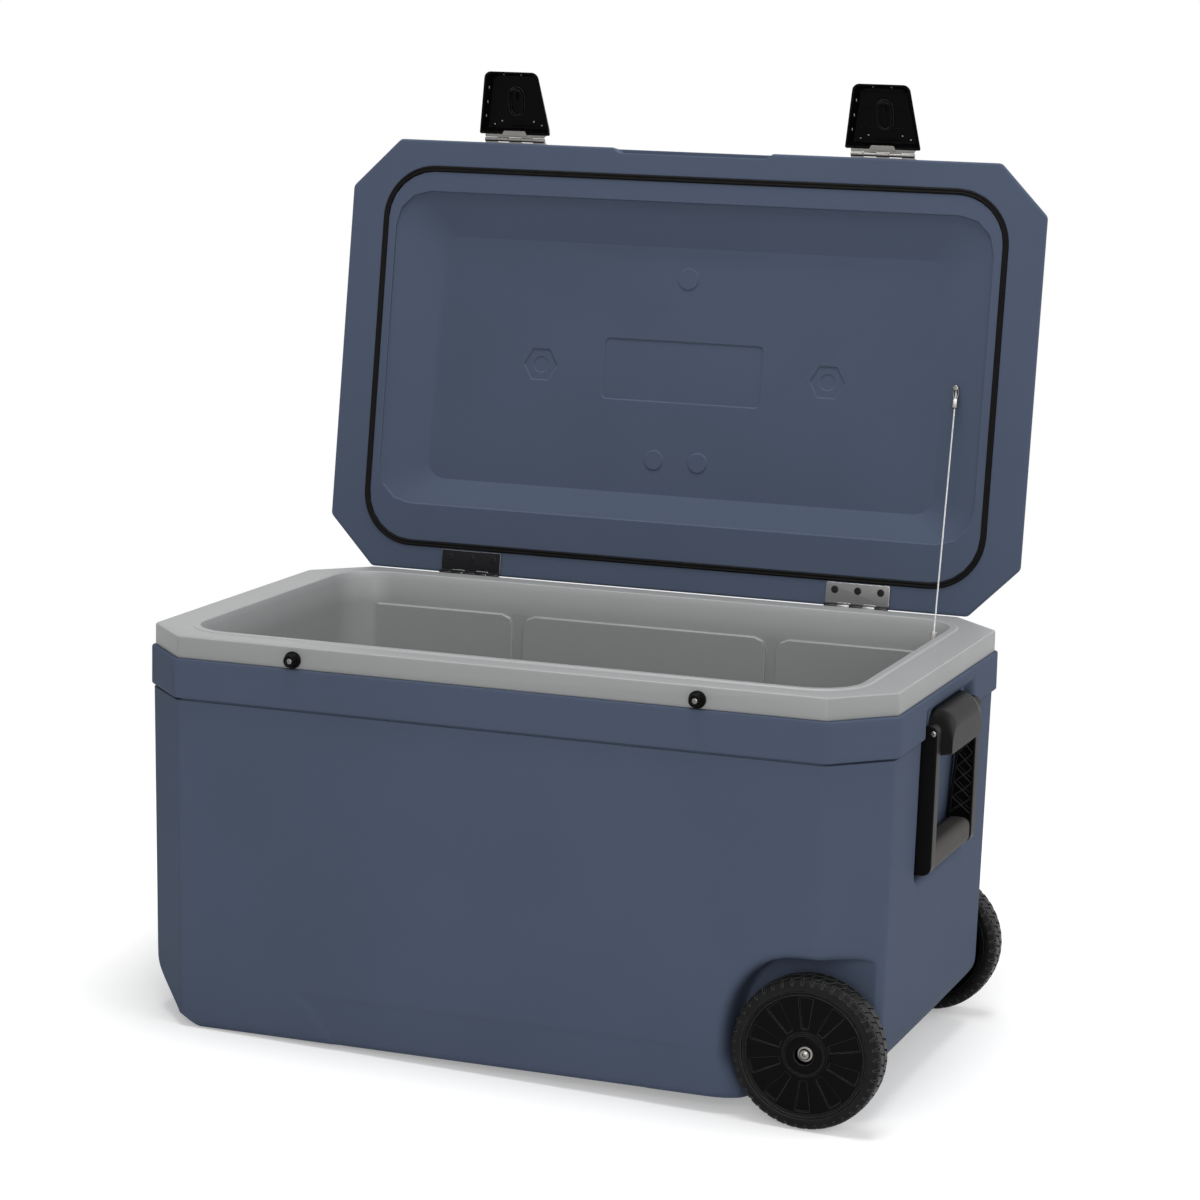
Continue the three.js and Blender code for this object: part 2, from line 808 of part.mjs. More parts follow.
// Hinges between body and lid, built with the lid closed
const hingeY = lid.halfDepth + lid.hingeBack;
const hingeZ = lid.rimGap - lid.hingeDrop;
const lidUnder = lid.rimGap;
const hingeScrewXs = [-1, 0, 1].map((step) => step * hinge.screwPitch);

// Tubes round a pin along x, every second one from the first given
function knuckleRow(count, first, width, inner, outer) {
  const pitch = width / count;
  const row = [];
  for (let index = first; index < count; index += 2) {
    const start = -width / 2 + index * pitch + hinge.knuckleGap / 2;
    row.push(solid(tube(inner, outer, start, start + pitch - hinge.knuckleGap, 'x')));
  }
  return row;
}
function knuckleTabs(count, first, width, y0, y1, z0, z1) {
  const pitch = width / count;
  const tabs = [];
  for (let index = first; index < count; index += 2) {
    const start = -width / 2 + index * pitch + hinge.knuckleGap / 2;
    tabs.push(box(start, start + pitch - hinge.knuckleGap, y0, y1, z0, z1));
  }
  return tabs;
}
const pinClear = hinge.pinRadius + gap;
const screwClear = hinge.screwRadius + gap;

function lidHingeLeaf() {
  const high = lidUnder - gap - hingeZ;
  const low = high - hinge.leaf;
  const near = -hinge.knuckleRadius - gap;
  const plate = box(-hinge.width / 2, hinge.width / 2, -hinge.lidLeafLength, near, low, high);
  const tabs = knuckleTabs(hinge.knuckles, 1, hinge.width, near - hinge.leaf, 0, low, high);
  const rings = knuckleRow(hinge.knuckles, 1, hinge.width, pinClear, hinge.knuckleRadius);
  const holes = hingeScrewXs.map((x) => {
    const hole = rod(screwClear, low - overrun, high + overrun, 'z');
    return solid(hole.translate(x, -hinge.screwFromAxis, 0));
  });
  const bore = solid(rod(pinClear, -hinge.width, hinge.width, 'x'));
  return cut(join(plate, ...tabs, ...rings), bore, ...holes);
}
function bodyHingeLeaf() {
  const inner = hingeLeafY - hingeY;
  const outer = inner + hinge.leaf;
  const near = -hinge.knuckleRadius - gap;
  const plate = box(-hinge.width / 2, hinge.width / 2, inner, outer, -hinge.bodyLeafLength, near);
  const tabs = knuckleTabs(hinge.knuckles, 0, hinge.width, inner, outer, near - hinge.leaf, 0);
  const rings = knuckleRow(hinge.knuckles, 0, hinge.width, pinClear, hinge.knuckleRadius);
  const holes = hingeScrewXs.map((x) => {
    const hole = rod(screwClear, inner - overrun, outer + overrun, 'y');
    return solid(hole.translate(x, 0, -hinge.screwFromAxis));
  });
  const bore = solid(rod(pinClear, -hinge.width, hinge.width, 'x'));
  return cut(join(plate, ...tabs, ...rings), bore, ...holes);
}

// A screw along z with its head at the bottom, standing on z = 0
const screwTopShare = 0.8;
const screwEdgeShare = 0.5;
function screw(radius, length, headRadius, head) {
  return turned([
    [0, -head],
    [headRadius * screwTopShare, -head],
    [headRadius, -head * screwEdgeShare],
    [headRadius, 0],
    [radius, 0],
    [radius, length],
    [0, length],
  ], 'z', screwSegments);
}
const hingeScrew = (length) => screw(hinge.screwRadius, length, hinge.screwHeadRadius, hinge.screwHead);
const bodyScrewLength = gap + hinge.leaf + rim.wall;
const lidScrewLength = gap + hinge.leaf + lid.wall;
function hingeScrewHoles() {
  const y0 = rim.halfDepth - rim.wall - shortOverrun;
  const holes = [-hinge.x, hinge.x].flatMap((x) => hingeScrewXs.map((step) => (
    solid(rod(screwClear, y0, rim.halfDepth + overrun, 'y', screwSegments)
      .translate(x + step, 0, hingeZ - hinge.screwFromAxis))
  )));
  return join(...holes);
}

// Lid, built closed
const lidTop = lidUnder + lid.thickness;
const fromBack = (distance) => lid.halfDepth - distance;
const fromFront = (distance) => -lid.halfDepth + distance;

function fingerRecess(grow) {
  const low = lidUnder - overrun;
  const high = lidUnder + lid.fingerHeight + grow;
  const outer = lid.fingerHalfWidth + grow;
  const deep = -lid.halfDepth + lid.fingerDepth + grow;
  const outline = [
    point(-outer - lid.fingerSlope - overrun, -lid.halfDepth - overrun),
    point(outer + lid.fingerSlope + overrun, -lid.halfDepth - overrun),
    point(outer - lid.fingerSlope, deep),
    point(-outer + lid.fingerSlope, deep),
  ];
  return solid(prism(outline, low, high));
}
const lidRing = (inset, z) => ({ points: lidOutline(inset, z - lidUnder), z });
const lidTopRings = (inset, top) => quarterShares.map(({ along, inward }) => (
  lidRing(inset + lid.edgeRadius * inward, top + lid.edgeRadius * (along - 1))
));

function lidShell() {
  const seam = lidUnder + lid.seamRise + gap;
  const outside = solid(loft([lidRing(0, seam), ...lidTopRings(0, lidTop)]));
  const innerRings = lidTopRings(lid.wall, lidTop - lid.wall);
  const inside = solid(loft([lidRing(lid.wall, seam - overrun), ...innerRings]));
  return cut(outside, fingerRecess(0), cut(inside, fingerRecess(lid.wall)));
}

// The recess under the lid, as rings between its mouth and its floor
function recessLoft(grow, drop) {
  const ring = (halfLength, back, front, z, radius) => ({
    points: roundedBox(
      -halfLength - grow,
      halfLength + grow,
      fromFront(front) - grow,
      fromBack(back) + grow,
      radius + grow,
      curveSteps,
    ),
    z,
  });
  const mouth = (z) => ring(lid.recessHalfLength, lid.recessBack, lid.recessFront, z, lid.recessRadius);
  const floor = (z) => ring(lid.floorHalfLength, lid.floorBack, lid.floorFront, z, lid.recessRadius / 2);
  return solid(loft([
    mouth(lidUnder - drop),
    mouth(lidUnder + lid.recessLip),
    floor(lidUnder + lid.recessDepth + grow),
  ]));
}
function gasketRing(grow, low, high) {
  const half = gasket.width / 2 + grow;
  const outline = (reach) => roundedBox(
    -gasket.halfLength - reach,
    gasket.halfLength + reach,
    fromFront(gasket.front) - reach,
    fromBack(gasket.back) + reach,
    gasket.radius + reach,
    cornerSteps,
  );
  const hole = solid(prism(outline(-half), low - overrun, high + overrun));
  return cut(solid(prism(outline(half), low, high)), hole);
}

// Shallow marks on the floor of the recess
function floorMarks() {
  const floor = lidUnder + lid.recessDepth;
  const high = floor + lidMarks.depth;
  const low = floor - shortOverrun;
  const mark = (x, radius, top, count) => (
    solid(prism(circle(radius, count, x, fromBack(lidMarks.hexFromBack)), low, top))
  );
  const hexes = [-lidMarks.hexX, lidMarks.hexX].flatMap((x) => [
    mark(x, lidMarks.hexRadius, high, 6),
    mark(x, lidMarks.dimpleRadius, floor + lidMarks.dimpleDepth, smallSegments),
  ]);
  const label = solid(prism(roundedBox(
    -lidMarks.labelHalfWidth,
    lidMarks.labelHalfWidth,
    fromBack(lidMarks.labelFront),
    fromBack(lidMarks.labelBack),
    lidMarks.labelRadius,
  ), low, high));
  return join(label, ...hexes);
}
function floorBosses() {
  const floor = lidUnder + lid.recessDepth;
  const [low, high] = [floor - lidMarks.depth, floor + lidMarks.dimpleDepth];
  const boss = (x, back, radius) => solid(prism(circle(radius, bossSegments, x, fromBack(back)), low, high));
  return join(
    boss(0, lidMarks.bossFromBack, lidMarks.bossRadius),
    boss(-lidMarks.discX, lidMarks.discFromBack, lidMarks.discRadius),
    boss(lidMarks.discX, lidMarks.discFromBack, lidMarks.discRadius),
  );
}
const grooveDepth = gasket.height - gasket.standOut;
function lidPan() {
  const edge = quarterShares.map(({ along, inward }) => (
    lidRing(lid.lowerEdgeRadius * inward, lidUnder + lid.lowerEdgeRadius * (1 - along))
  ));
  const block = solid(loft([...edge.reverse(), lidRing(0, lidUnder + lid.seamRise)]));
  const floorThickness = grooveDepth + gap + lid.grooveFloor;
  const hollow = solid(loft([
    lidRing(lid.wall, lidUnder + floorThickness),
    lidRing(lid.wall, lidUnder + lid.seamRise + overrun),
  ]));
  const tray = cut(block, fingerRecess(0), cut(hollow, fingerRecess(lid.wall)));
  const raised = recessLoft(lid.wall, -floorThickness / 2);
  return cut(
    join(tray, raised),
    cut(recessLoft(0, overrun), floorBosses()),
    floorMarks(),
    gasketRing(gasket.sideGap, lidUnder - overrun, lidUnder + grooveDepth + gap),
    lidScrewHoles(),
    lidStayHole(),
  );
}
function lidScrewHoles() {
  return join(...[-hinge.x, hinge.x].flatMap((x) => hingeScrewXs.map((step) => (
    solid(rod(screwClear, lidUnder - overrun, lidUnder + lidScrewLength, 'z', screwSegments)
      .translate(x + step, hingeY - hinge.screwFromAxis, 0))
  ))));
}
function lidFoam() {
  const inset = lid.wall + gap;
  const low = lidUnder + grooveDepth + gap + lid.grooveFloor + gap;
  const block = solid(loft([lidRing(inset, low), ...lidTopRings(inset, lidTop - inset)]));
  return cut(
    block,
    recessLoft(lid.wall + gap, overrun),
    fingerRecess(inset),
    lidScrewHoles(),
    lidStayHole(),
  );
}

// Latches, built standing in line with the lid, their open side facing down
const latchY = -lid.halfDepth - latch.axisOut;
const latchZ = lidUnder + latch.axisBehind;
const latchBase = latch.axisOut - latch.baseOut;

// The cover is a tray whose walls lean in from its mouth at share 0 to its back at share 1
function coverOutline(inset, share) {
  const base = latchBase - inset - latch.baseDraft * share;
  const tip = latchBase - latch.length + inset + latch.tipDraft * share;
  const narrowing = inset + latch.sideDraft * share;
  return rounded([
    point(-latch.baseHalfWidth + narrowing, base),
    point(-latch.tipHalfWidth + narrowing, tip),
    point(latch.tipHalfWidth - narrowing, tip),
    point(latch.baseHalfWidth - narrowing, base),
  ], [latch.baseRadius, latch.tipRadius, latch.tipRadius, latch.baseRadius]);
}
const coverRing = (inset, z) => ({ points: coverOutline(inset, Math.max(z, 0) / latch.depth), z });

function keyholeOutline(inset) {
  const halfWidth = latch.keyholeHalfWidth - inset;
  const halfLength = latch.keyholeHalfLength - inset;
  return roundedBox(
    -halfWidth,
    halfWidth,
    -latch.keyholeFromAxis - halfLength,
    -latch.keyholeFromAxis + halfLength,
    halfWidth - gap,
    curveSteps,
  );
}
function latchCover(withRibs) {
  const floor = latch.depth - latch.wall;
  const low = latch.depth - latch.backEdge;
  const outside = solid(loft([coverRing(0, 0), coverRing(0, low), coverRing(latch.backEdge, latch.depth)]));
  const inside = solid(loft([
    coverRing(latch.wall, -overrun), coverRing(latch.wall, 0), coverRing(latch.wall, floor),
  ]));
  const ring = cut(
    solid(prism(keyholeOutline(0), floor - latch.keyholeHeight, latch.depth - latch.ribWidth)),
    solid(prism(keyholeOutline(latch.keyholeWall), -overrun, floor)),
  );
  const ribs = (withRibs ? [latch.lowRib, latch.middleRib, latch.topRib] : []).map((distance) => (
    box(
      -latch.tipHalfWidth + latch.sideDraft,
      latch.tipHalfWidth - latch.sideDraft,
      -distance,
      -distance + latch.ribWidth,
      floor - latch.ribHeight,
      latch.depth - latch.ribWidth,
    ).subtract(solid(prism(keyholeOutline(latch.keyholeWall / 2), -overrun, overrun)))
  ));
  return join(cut(outside, inside), ring, ...ribs);
}
const latchPinClear = latch.pinRadius + gap;
function latchFixedLeaf() {
  const face = latch.axisOut - gap;
  const half = latch.leafHalfWidth;
  const plate = box(-half, half, face - latch.leaf, face, latch.knuckleRadius + gap, latch.leafHeight);
  const width = half * 2;
  const reach = latch.knuckleRadius + gap + latch.leaf;
  const tabs = knuckleTabs(latch.knuckles, 0, width, latch.knuckleRadius - latch.leaf, face, 0, reach);
  const rings = knuckleRow(latch.knuckles, 0, width, latchPinClear, latch.knuckleRadius);
  const bore = solid(rod(latchPinClear, -width, width, 'x'));
  return cut(join(plate, ...tabs, ...rings), bore);
}
function latchMovingLeaf() {
  const face = latchBase + gap;
  const width = latch.leafHalfWidth * 2;
  const plate = box(-latch.leafHalfWidth, latch.leafHalfWidth, face, face + latch.leaf, 0, latch.tabHeight);
  const tabs = knuckleTabs(latch.knuckles, 1, width, face, 0, 0, latch.leaf);
  const rings = knuckleRow(latch.knuckles, 1, width, latchPinClear, latch.knuckleRadius);
  const bore = solid(rod(latchPinClear, -width, width, 'x'));
  return cut(join(plate, ...tabs, ...rings), bore);
}

// Studs that the latches close over
function studScrewHoles() {
  const radius = stud.screwRadius + gap;
  return bothEnds(solid(
    rod(radius, -rim.halfDepth - overrun, -rim.halfDepth + rim.wall + shortOverrun, 'y', screwSegments)
      .translate(stud.x, 0, studZ),
  ));
}
function latchStud() {
  const bore = stud.screwRadius + gap;
  return turned([
    [bore, 0],
    [stud.flangeRadius, 0],
    [stud.flangeRadius, -stud.flange],
    [stud.noseRadius, -stud.flange],
    [stud.noseRadius, -stud.length + stud.noseRound],
    [stud.noseRadius - stud.noseRound, -stud.length],
    [bore, -stud.length],
    [bore, 0],
  ], 'y', bossSegments);
}

// Stay cable from the lid's recess to the tub's end wall
const openAngle = THREE.MathUtils.degToRad(lid.opening);
const stayLidClosed = vector(stay.lidX, fromBack(stay.lidFromBack), lidUnder + stay.lidRise);
const hingeAxis = vector(0, hingeY, hingeZ);
const stayLid = stayLidClosed.clone().sub(hingeAxis);
stayLid.applyAxisAngle(vector(1, 0, 0), -openAngle).add(hingeAxis);
const stayTub = vector(stay.tubX, stay.tubY, -stay.tubDrop);

function stayCable() {
  const length = stayLid.distanceTo(stayTub) - 2 * (stay.studRadius + stay.endGap);
  const upper = length - stay.ferruleStart;
  const profile = [
    [0, 0],
    [stay.radius, 0],
    [stay.radius, stay.ferruleStart],
    [stay.ferruleRadius, stay.ferruleStart],
    [stay.ferruleRadius, stay.ferruleStart + stay.ferruleLength],
    [stay.radius, stay.ferruleStart + stay.ferruleLength],
    [stay.radius, upper - stay.ferruleLength],
    [stay.ferruleRadius, upper - stay.ferruleLength],
    [stay.ferruleRadius, upper],
    [stay.radius, upper],
    [stay.radius, length],
    [0, length],
  ];
  const cable = turned(profile, 'y', 8);
  const way = stayLid.clone().sub(stayTub).normalize();
  cable.translate(0, stay.studRadius + stay.endGap, 0);
  cable.applyQuaternion(new THREE.Quaternion().setFromUnitVectors(vector(0, 1, 0), way));
  return cable.translate(stayTub.x, stayTub.y, stayTub.z);
}

// Screws that hold the cable's ends: along x into the tub's end wall, along z into the lid
const tubWallAtStay = tub.halfLength - tub.ledgeInset;
function stayHole() {
  const [start, end] = [tubWallAtStay - shortOverrun, tubWallAtStay + tub.wall + shortOverrun];
  return solid(rod(stay.studRadius + gap, start, end, 'x', screwSegments)
    .translate(0, stayTub.y, stayTub.z));
}
function tubAnchor() {
  const head = stayTub.x - stay.headStandoff - stay.head;
  const end = tubWallAtStay + tub.wall;
  return turned([
    [0, head],
    [stay.headRadius, head],
    [stay.headRadius, head + stay.head],
    [stay.studRadius, head + stay.head],
    [stay.studRadius, end],
    [0, end],
  ], 'x', screwSegments).translate(0, stayTub.y, stayTub.z);
}
const recessWallRise = (() => {
  const share = (lid.recessHalfLength - stay.lidX) / (lid.recessHalfLength - lid.floorHalfLength);
  return lid.recessLip + share * (lid.recessDepth - lid.recessLip);
})();
function lidStayHole() {
  const [start, end] = [lidUnder + recessWallRise - overrun, lidUnder + recessWallRise + overrun];
  return solid(rod(stay.studRadius + gap, start, end, 'z', screwSegments)
    .translate(stayLidClosed.x, stayLidClosed.y, 0));
}
function lidAnchor() {
  const head = stayLidClosed.z - stay.headStandoff - stay.head;
  const end = lidUnder + recessWallRise + stay.studReach;
  return turned([
    [0, head],
    [stay.headRadius, head],
    [stay.headRadius, head + stay.head],
    [stay.studRadius, head + stay.head],
    [stay.studRadius, end],
    [0, end],
  ], 'z', screwSegments).translate(stayLidClosed.x, stayLidClosed.y, 0);
}

// Wheels, built round y with their outer face towards -y and the axle through their middle
const tyreInner = wheel.rimRadius + gap;
function tyre() {
  const half = wheel.width / 2;
  const crown = wheel.radius;
  const low = crown - wheel.shoulder;
  const groove = wheel.treadGroove / 2;
  const profile = [
    [tyreInner, -half],
    [low, -half],
    [crown, -half + wheel.shoulder],
    [crown, -groove],
    [crown - wheel.treadGroove, -groove],
    [crown - wheel.treadGroove, groove],
    [crown, groove],
    [crown, half - wheel.shoulder],
    [low, half],
    [tyreInner, half],
    [tyreInner, -half],
  ];
  return turned(profile, 'y', roundSegments);
}
function hub() {
  const half = wheel.width / 2;
  const face = -half + wheel.faceRecess;
  const back = face + wheel.plate;
  const bore = axle.radius + gap;
  const nutFloor = -half + axle.nutLength + gap;
  const seat = axle.nutRadius + gap * 2;
  const disc = solid(turned([
    [bore, nutFloor],
    [seat, nutFloor],
    [seat, face - wheel.hubRise],
    [wheel.hubRadius, face - wheel.hubRise],
    [wheel.hubRadius, face],
    [wheel.rimRadius, face],
    [wheel.rimRadius, half],
    [wheel.rimRadius - wheel.rimWall, half],
    [wheel.rimRadius - wheel.rimWall, back],
    [wheel.hubRadius, back],
    [wheel.hubRadius, half],
    [bore, half],
    [bore, nutFloor],
  ], 'y', roundSegments));
  const halfAngle = THREE.MathUtils.degToRad(wheel.pocketAngle) / 2;
  const wedge = [
    point(wheel.pocketInner * Math.cos(halfAngle), -wheel.pocketInner * Math.sin(halfAngle)),
    point(wheel.pocketOuter * Math.cos(halfAngle), -wheel.pocketOuter * Math.sin(halfAngle)),
    point(wheel.pocketOuter, 0),
    point(wheel.pocketOuter * Math.cos(halfAngle), wheel.pocketOuter * Math.sin(halfAngle)),
    point(wheel.pocketInner * Math.cos(halfAngle), wheel.pocketInner * Math.sin(halfAngle)),
  ];
  const pockets = Array.from({ length: wheel.pocketCount }, (_, index) => (
    solid(alongY(wedge, face - overrun, face + wheel.pocketDepth)
      .rotateY((2 * Math.PI * index) / wheel.pocketCount))
  ));
  return cut(disc, ...pockets);
}
function axleNut() {
  const half = wheel.width / 2;
  return turned([
    [0, -half],
    [axle.nutTopRadius, -half],
    [axle.nutRadius, -half + axle.nutEdge],
    [axle.nutRadius, -half + axle.nutLength],
    [0, -half + axle.nutLength],
  ], 'y', screwSegments);
}

// Handles, built at the right end round a pivot line along y
const pivotZ = -bail.pivotDrop;
const bailEnd = pivotZ - bail.length;
const barZ = bailEnd + bail.barRise;
const barX = (bail.outerX + bail.lowerInnerX) / 2;

function armOutline(inset) {
  const top = pivotZ - bail.earRadius;
  return rounded([
    point(bail.upperInnerX + inset, top),
    point(bail.lowerInnerX + inset, bailEnd + inset),
    point(bail.outerX - inset, bailEnd + inset),
    point(bail.outerX - inset, top),
  ], bail.endRadius / 2);
}
function bailArm() {
  const low = -bail.outside;
  const high = -bail.inside;
  const web = solid(alongY(armOutline(0), low, high));
  const neck = box(
    bail.upperInnerX + bail.endRadius, bail.outerX, low, high, pivotZ - bail.earRadius * 2, pivotZ,
  );
  const ear = solid(rod(bail.earRadius, low, high, 'y', middleSegments).translate(bail.pivotX, 0, pivotZ));
  const hole = solid(rod(pivotScrew.hole, low - overrun, high + overrun, 'y', screwSegments)
    .translate(bail.pivotX, 0, pivotZ));
  return cut(join(web, neck, ear), hole, ...armPockets());
}

// Diamond pockets in the inner face of an arm, which leave crossed ribs between them
function armPockets() {
  const top = pivotZ - bail.earRadius * 2;
  const bottom = barZ + bail.barHalfHeight + bail.gripThickness + bail.ribMargin;
  const pitch = (top - bottom) / bail.ribCount;
  const pockets = [];
  for (let index = 0; index < bail.ribCount; index += 1) {
    const z = bottom + index * pitch + pitch / 2;
    const share = (z - bailEnd) / (pivotZ - bailEnd);
    const inner = THREE.MathUtils.lerp(bail.lowerInnerX, bail.upperInnerX, share) + bail.ribMargin;
    const outer = bail.outerX - bail.flange;
    const middle = (inner + outer) / 2;
    const halfHeight = pitch / 2 - bail.ribWall / 2;
    const halfWidth = (outer - inner) / 2;
    const diamond = [
      point(middle, z - halfHeight),
      point(middle + halfWidth - bail.ribWall / 2, z),
      point(middle, z + halfHeight),
      point(middle - halfWidth + bail.ribWall / 2, z),
    ];
    pockets.push(solid(alongY(diamond, -bail.inside - bail.ribDepth, -bail.inside + overrun)));
  }
  return pockets;
}
function barOutline(grow) {
  return roundedBox(
    barX - bail.barHalfDepth - grow,
    barX + bail.barHalfDepth + grow,
    barZ - bail.barHalfHeight - grow,
    barZ + bail.barHalfHeight + grow,
    bail.barRadius + grow,
    curveSteps,
  );
}
function handleBail() {
  const arm = bailArm();
  const bar = solid(alongY(barOutline(0), -bail.inside - bail.ribDepth / 2, bail.inside + bail.ribDepth / 2));
  return join(arm, mirrorY(arm), bar);
}
function handleGrip() {
  const half = bail.inside - gap;
  const outside = solid(alongY(barOutline(bail.gripThickness), -half, half));
  return cut(outside, solid(alongY(barOutline(gap), -half - overrun, half + overrun)));
}
function handleBracket() {
  const rings = bracketDepthShares.map((share, index) => {
    const round = bracketRoundShares[index];
    const half = THREE.MathUtils.lerp(bracket.halfWidth, bracket.frontHalfWidth, round);
    const top = -THREE.MathUtils.lerp(bracket.topDrop, bracket.frontTopDrop, round);
    const radius = THREE.MathUtils.lerp(bracket.cornerRadius, bracket.frontCornerRadius, round);
    const x = THREE.MathUtils.lerp(bracket.backX, bracket.frontX, share);
    return { points: roundedBox(-half, half, -bracket.bottomDrop, top, radius, curveSteps), z: x };
  });
  const body = solid(loft(rings).applyMatrix4(ontoX));
  const [start, end] = [-bail.inside - overrun, -bail.inside + pivotScrew.depth + gap];
  const screwHoles = frontAndBack(solid(
    rod(pivotScrew.radius + gap, start, end, 'y', screwSegments).translate(bail.pivotX, 0, pivotZ),
  ));
  return cut(body, screwHoles);
}
function pivotScrewPiece() {
  const length = bail.outside - bail.inside + gap + pivotScrew.depth;
  return screw(pivotScrew.radius, length, pivotScrew.headRadius, pivotScrew.head);
}

// Drain at the low end, its parts turned round x with the outside towards -x
const drainFace = -endWallAtDrain - gap;
function drainBush() {
  const inner = drain.bore;
  const outer = drain.bore + drain.wall;
  const end = -tub.halfLength + tub.ledgeInset + tub.taper;
  return turned([
    [inner, drainFace - drain.flange],
    [drain.flangeRadius, drainFace - drain.flange],
    [drain.flangeRadius, drainFace],
    [outer, drainFace],
    [outer, end],
    [inner, end],
    [inner, drainFace - drain.flange],
  ], 'x', middleSegments);
}
const sealFace = drainFace - drain.flange - gap;
const capFace = sealFace - drain.seal - gap;
function drainPlug() {
  const body = solid(turned([
    [0, capFace - drain.cap],
    [drain.capRadius - drain.seal, capFace - drain.cap],
    [drain.capRadius, capFace - drain.cap + drain.seal],
    [drain.capRadius, capFace],
    [drain.stemRadius, capFace],
    [drain.stemRadius, capFace + drain.stemLength],
    [0, capFace + drain.stemLength],
  ], 'x', middleSegments));
  const wing = box(
    capFace - drain.cap - drain.wingHeight,
    capFace - drain.cap / 2,
    -drain.wingHalfWidth,
    drain.wingHalfWidth,
    -drain.capRadius + drain.seal * 2,
    drain.capRadius - drain.seal * 2,
  );
  return join(body, wing);
}

// Assembly: the cooler stands on its wheels and on the low edge of its other end, so it leans
const lowEdge = point(-shell.leftEnd + shell.leftTaper + shell.leftBevel, -shell.height);
const wheelCentre = point(wheel.fromMiddle, wheelZ);
const edgeToWheel = wheelCentre.clone().sub(lowEdge);
const tilt = Math.asin(wheel.radius / edgeToWheel.length()) - edgeToWheel.angle();
const bottomMiddle = vector(0, 0, -shell.height);

const cooler = new THREE.Group();
cooler.rotation.y = -tilt;
cooler.position.copy(bottomMiddle).applyAxisAngle(vector(0, 1, 0), -tilt).negate();

const lidPivot = new THREE.Group();
lidPivot.position.copy(hingeAxis);
lidPivot.rotation.x = -openAngle;
const lidParts = new THREE.Group();
lidParts.position.copy(hingeAxis).negate();
lidPivot.add(lidParts);

const place = (mesh, x, y, z) => {
  mesh.position.set(x, y, z);
  return mesh;
};

cooler.add(
  piece('outer_shell', outerShell(), bluePlastic),
  piece('inner_liner', innerLiner(), greyPlastic),
  piece('body_foam', bodyFoam(), foam),
  piece('stay_cable', solid(stayCable()), steel),
  piece('cable_anchor_tub', solid(tubAnchor()), steel),
  piece('drain_bush', solid(drainBush().translate(0, 0, drainZ)), blackPlastic),
  piece('drain_seal', solid(tube(
    drain.bore + gap, drain.sealRadius, sealFace - drain.seal, sealFace, 'x', middleSegments,
  ).translate(0, 0, drainZ)), rubber),
  place(piece('drain_plug', drainPlug(), blackPlastic), 0, 0, drainZ),
  piece('axle', solid(
    rod(axle.radius, -wheel.outerFace + axle.nutLength + gap, wheel.outerFace - axle.nutLength - gap, 'y')
      .translate(wheel.fromMiddle, 0, wheelZ),
  ), steel),
);
lidParts.add(
  piece('lid_shell', lidShell(), bluePlastic),
  piece('lid_pan', lidPan(), bluePlastic),
  piece('lid_foam', lidFoam(), foam),
  piece('lid_gasket', gasketRing(0, lidUnder - gasket.standOut, lidUnder + grooveDepth), rubber),
  piece('cable_anchor_lid', solid(lidAnchor()), steel),
);

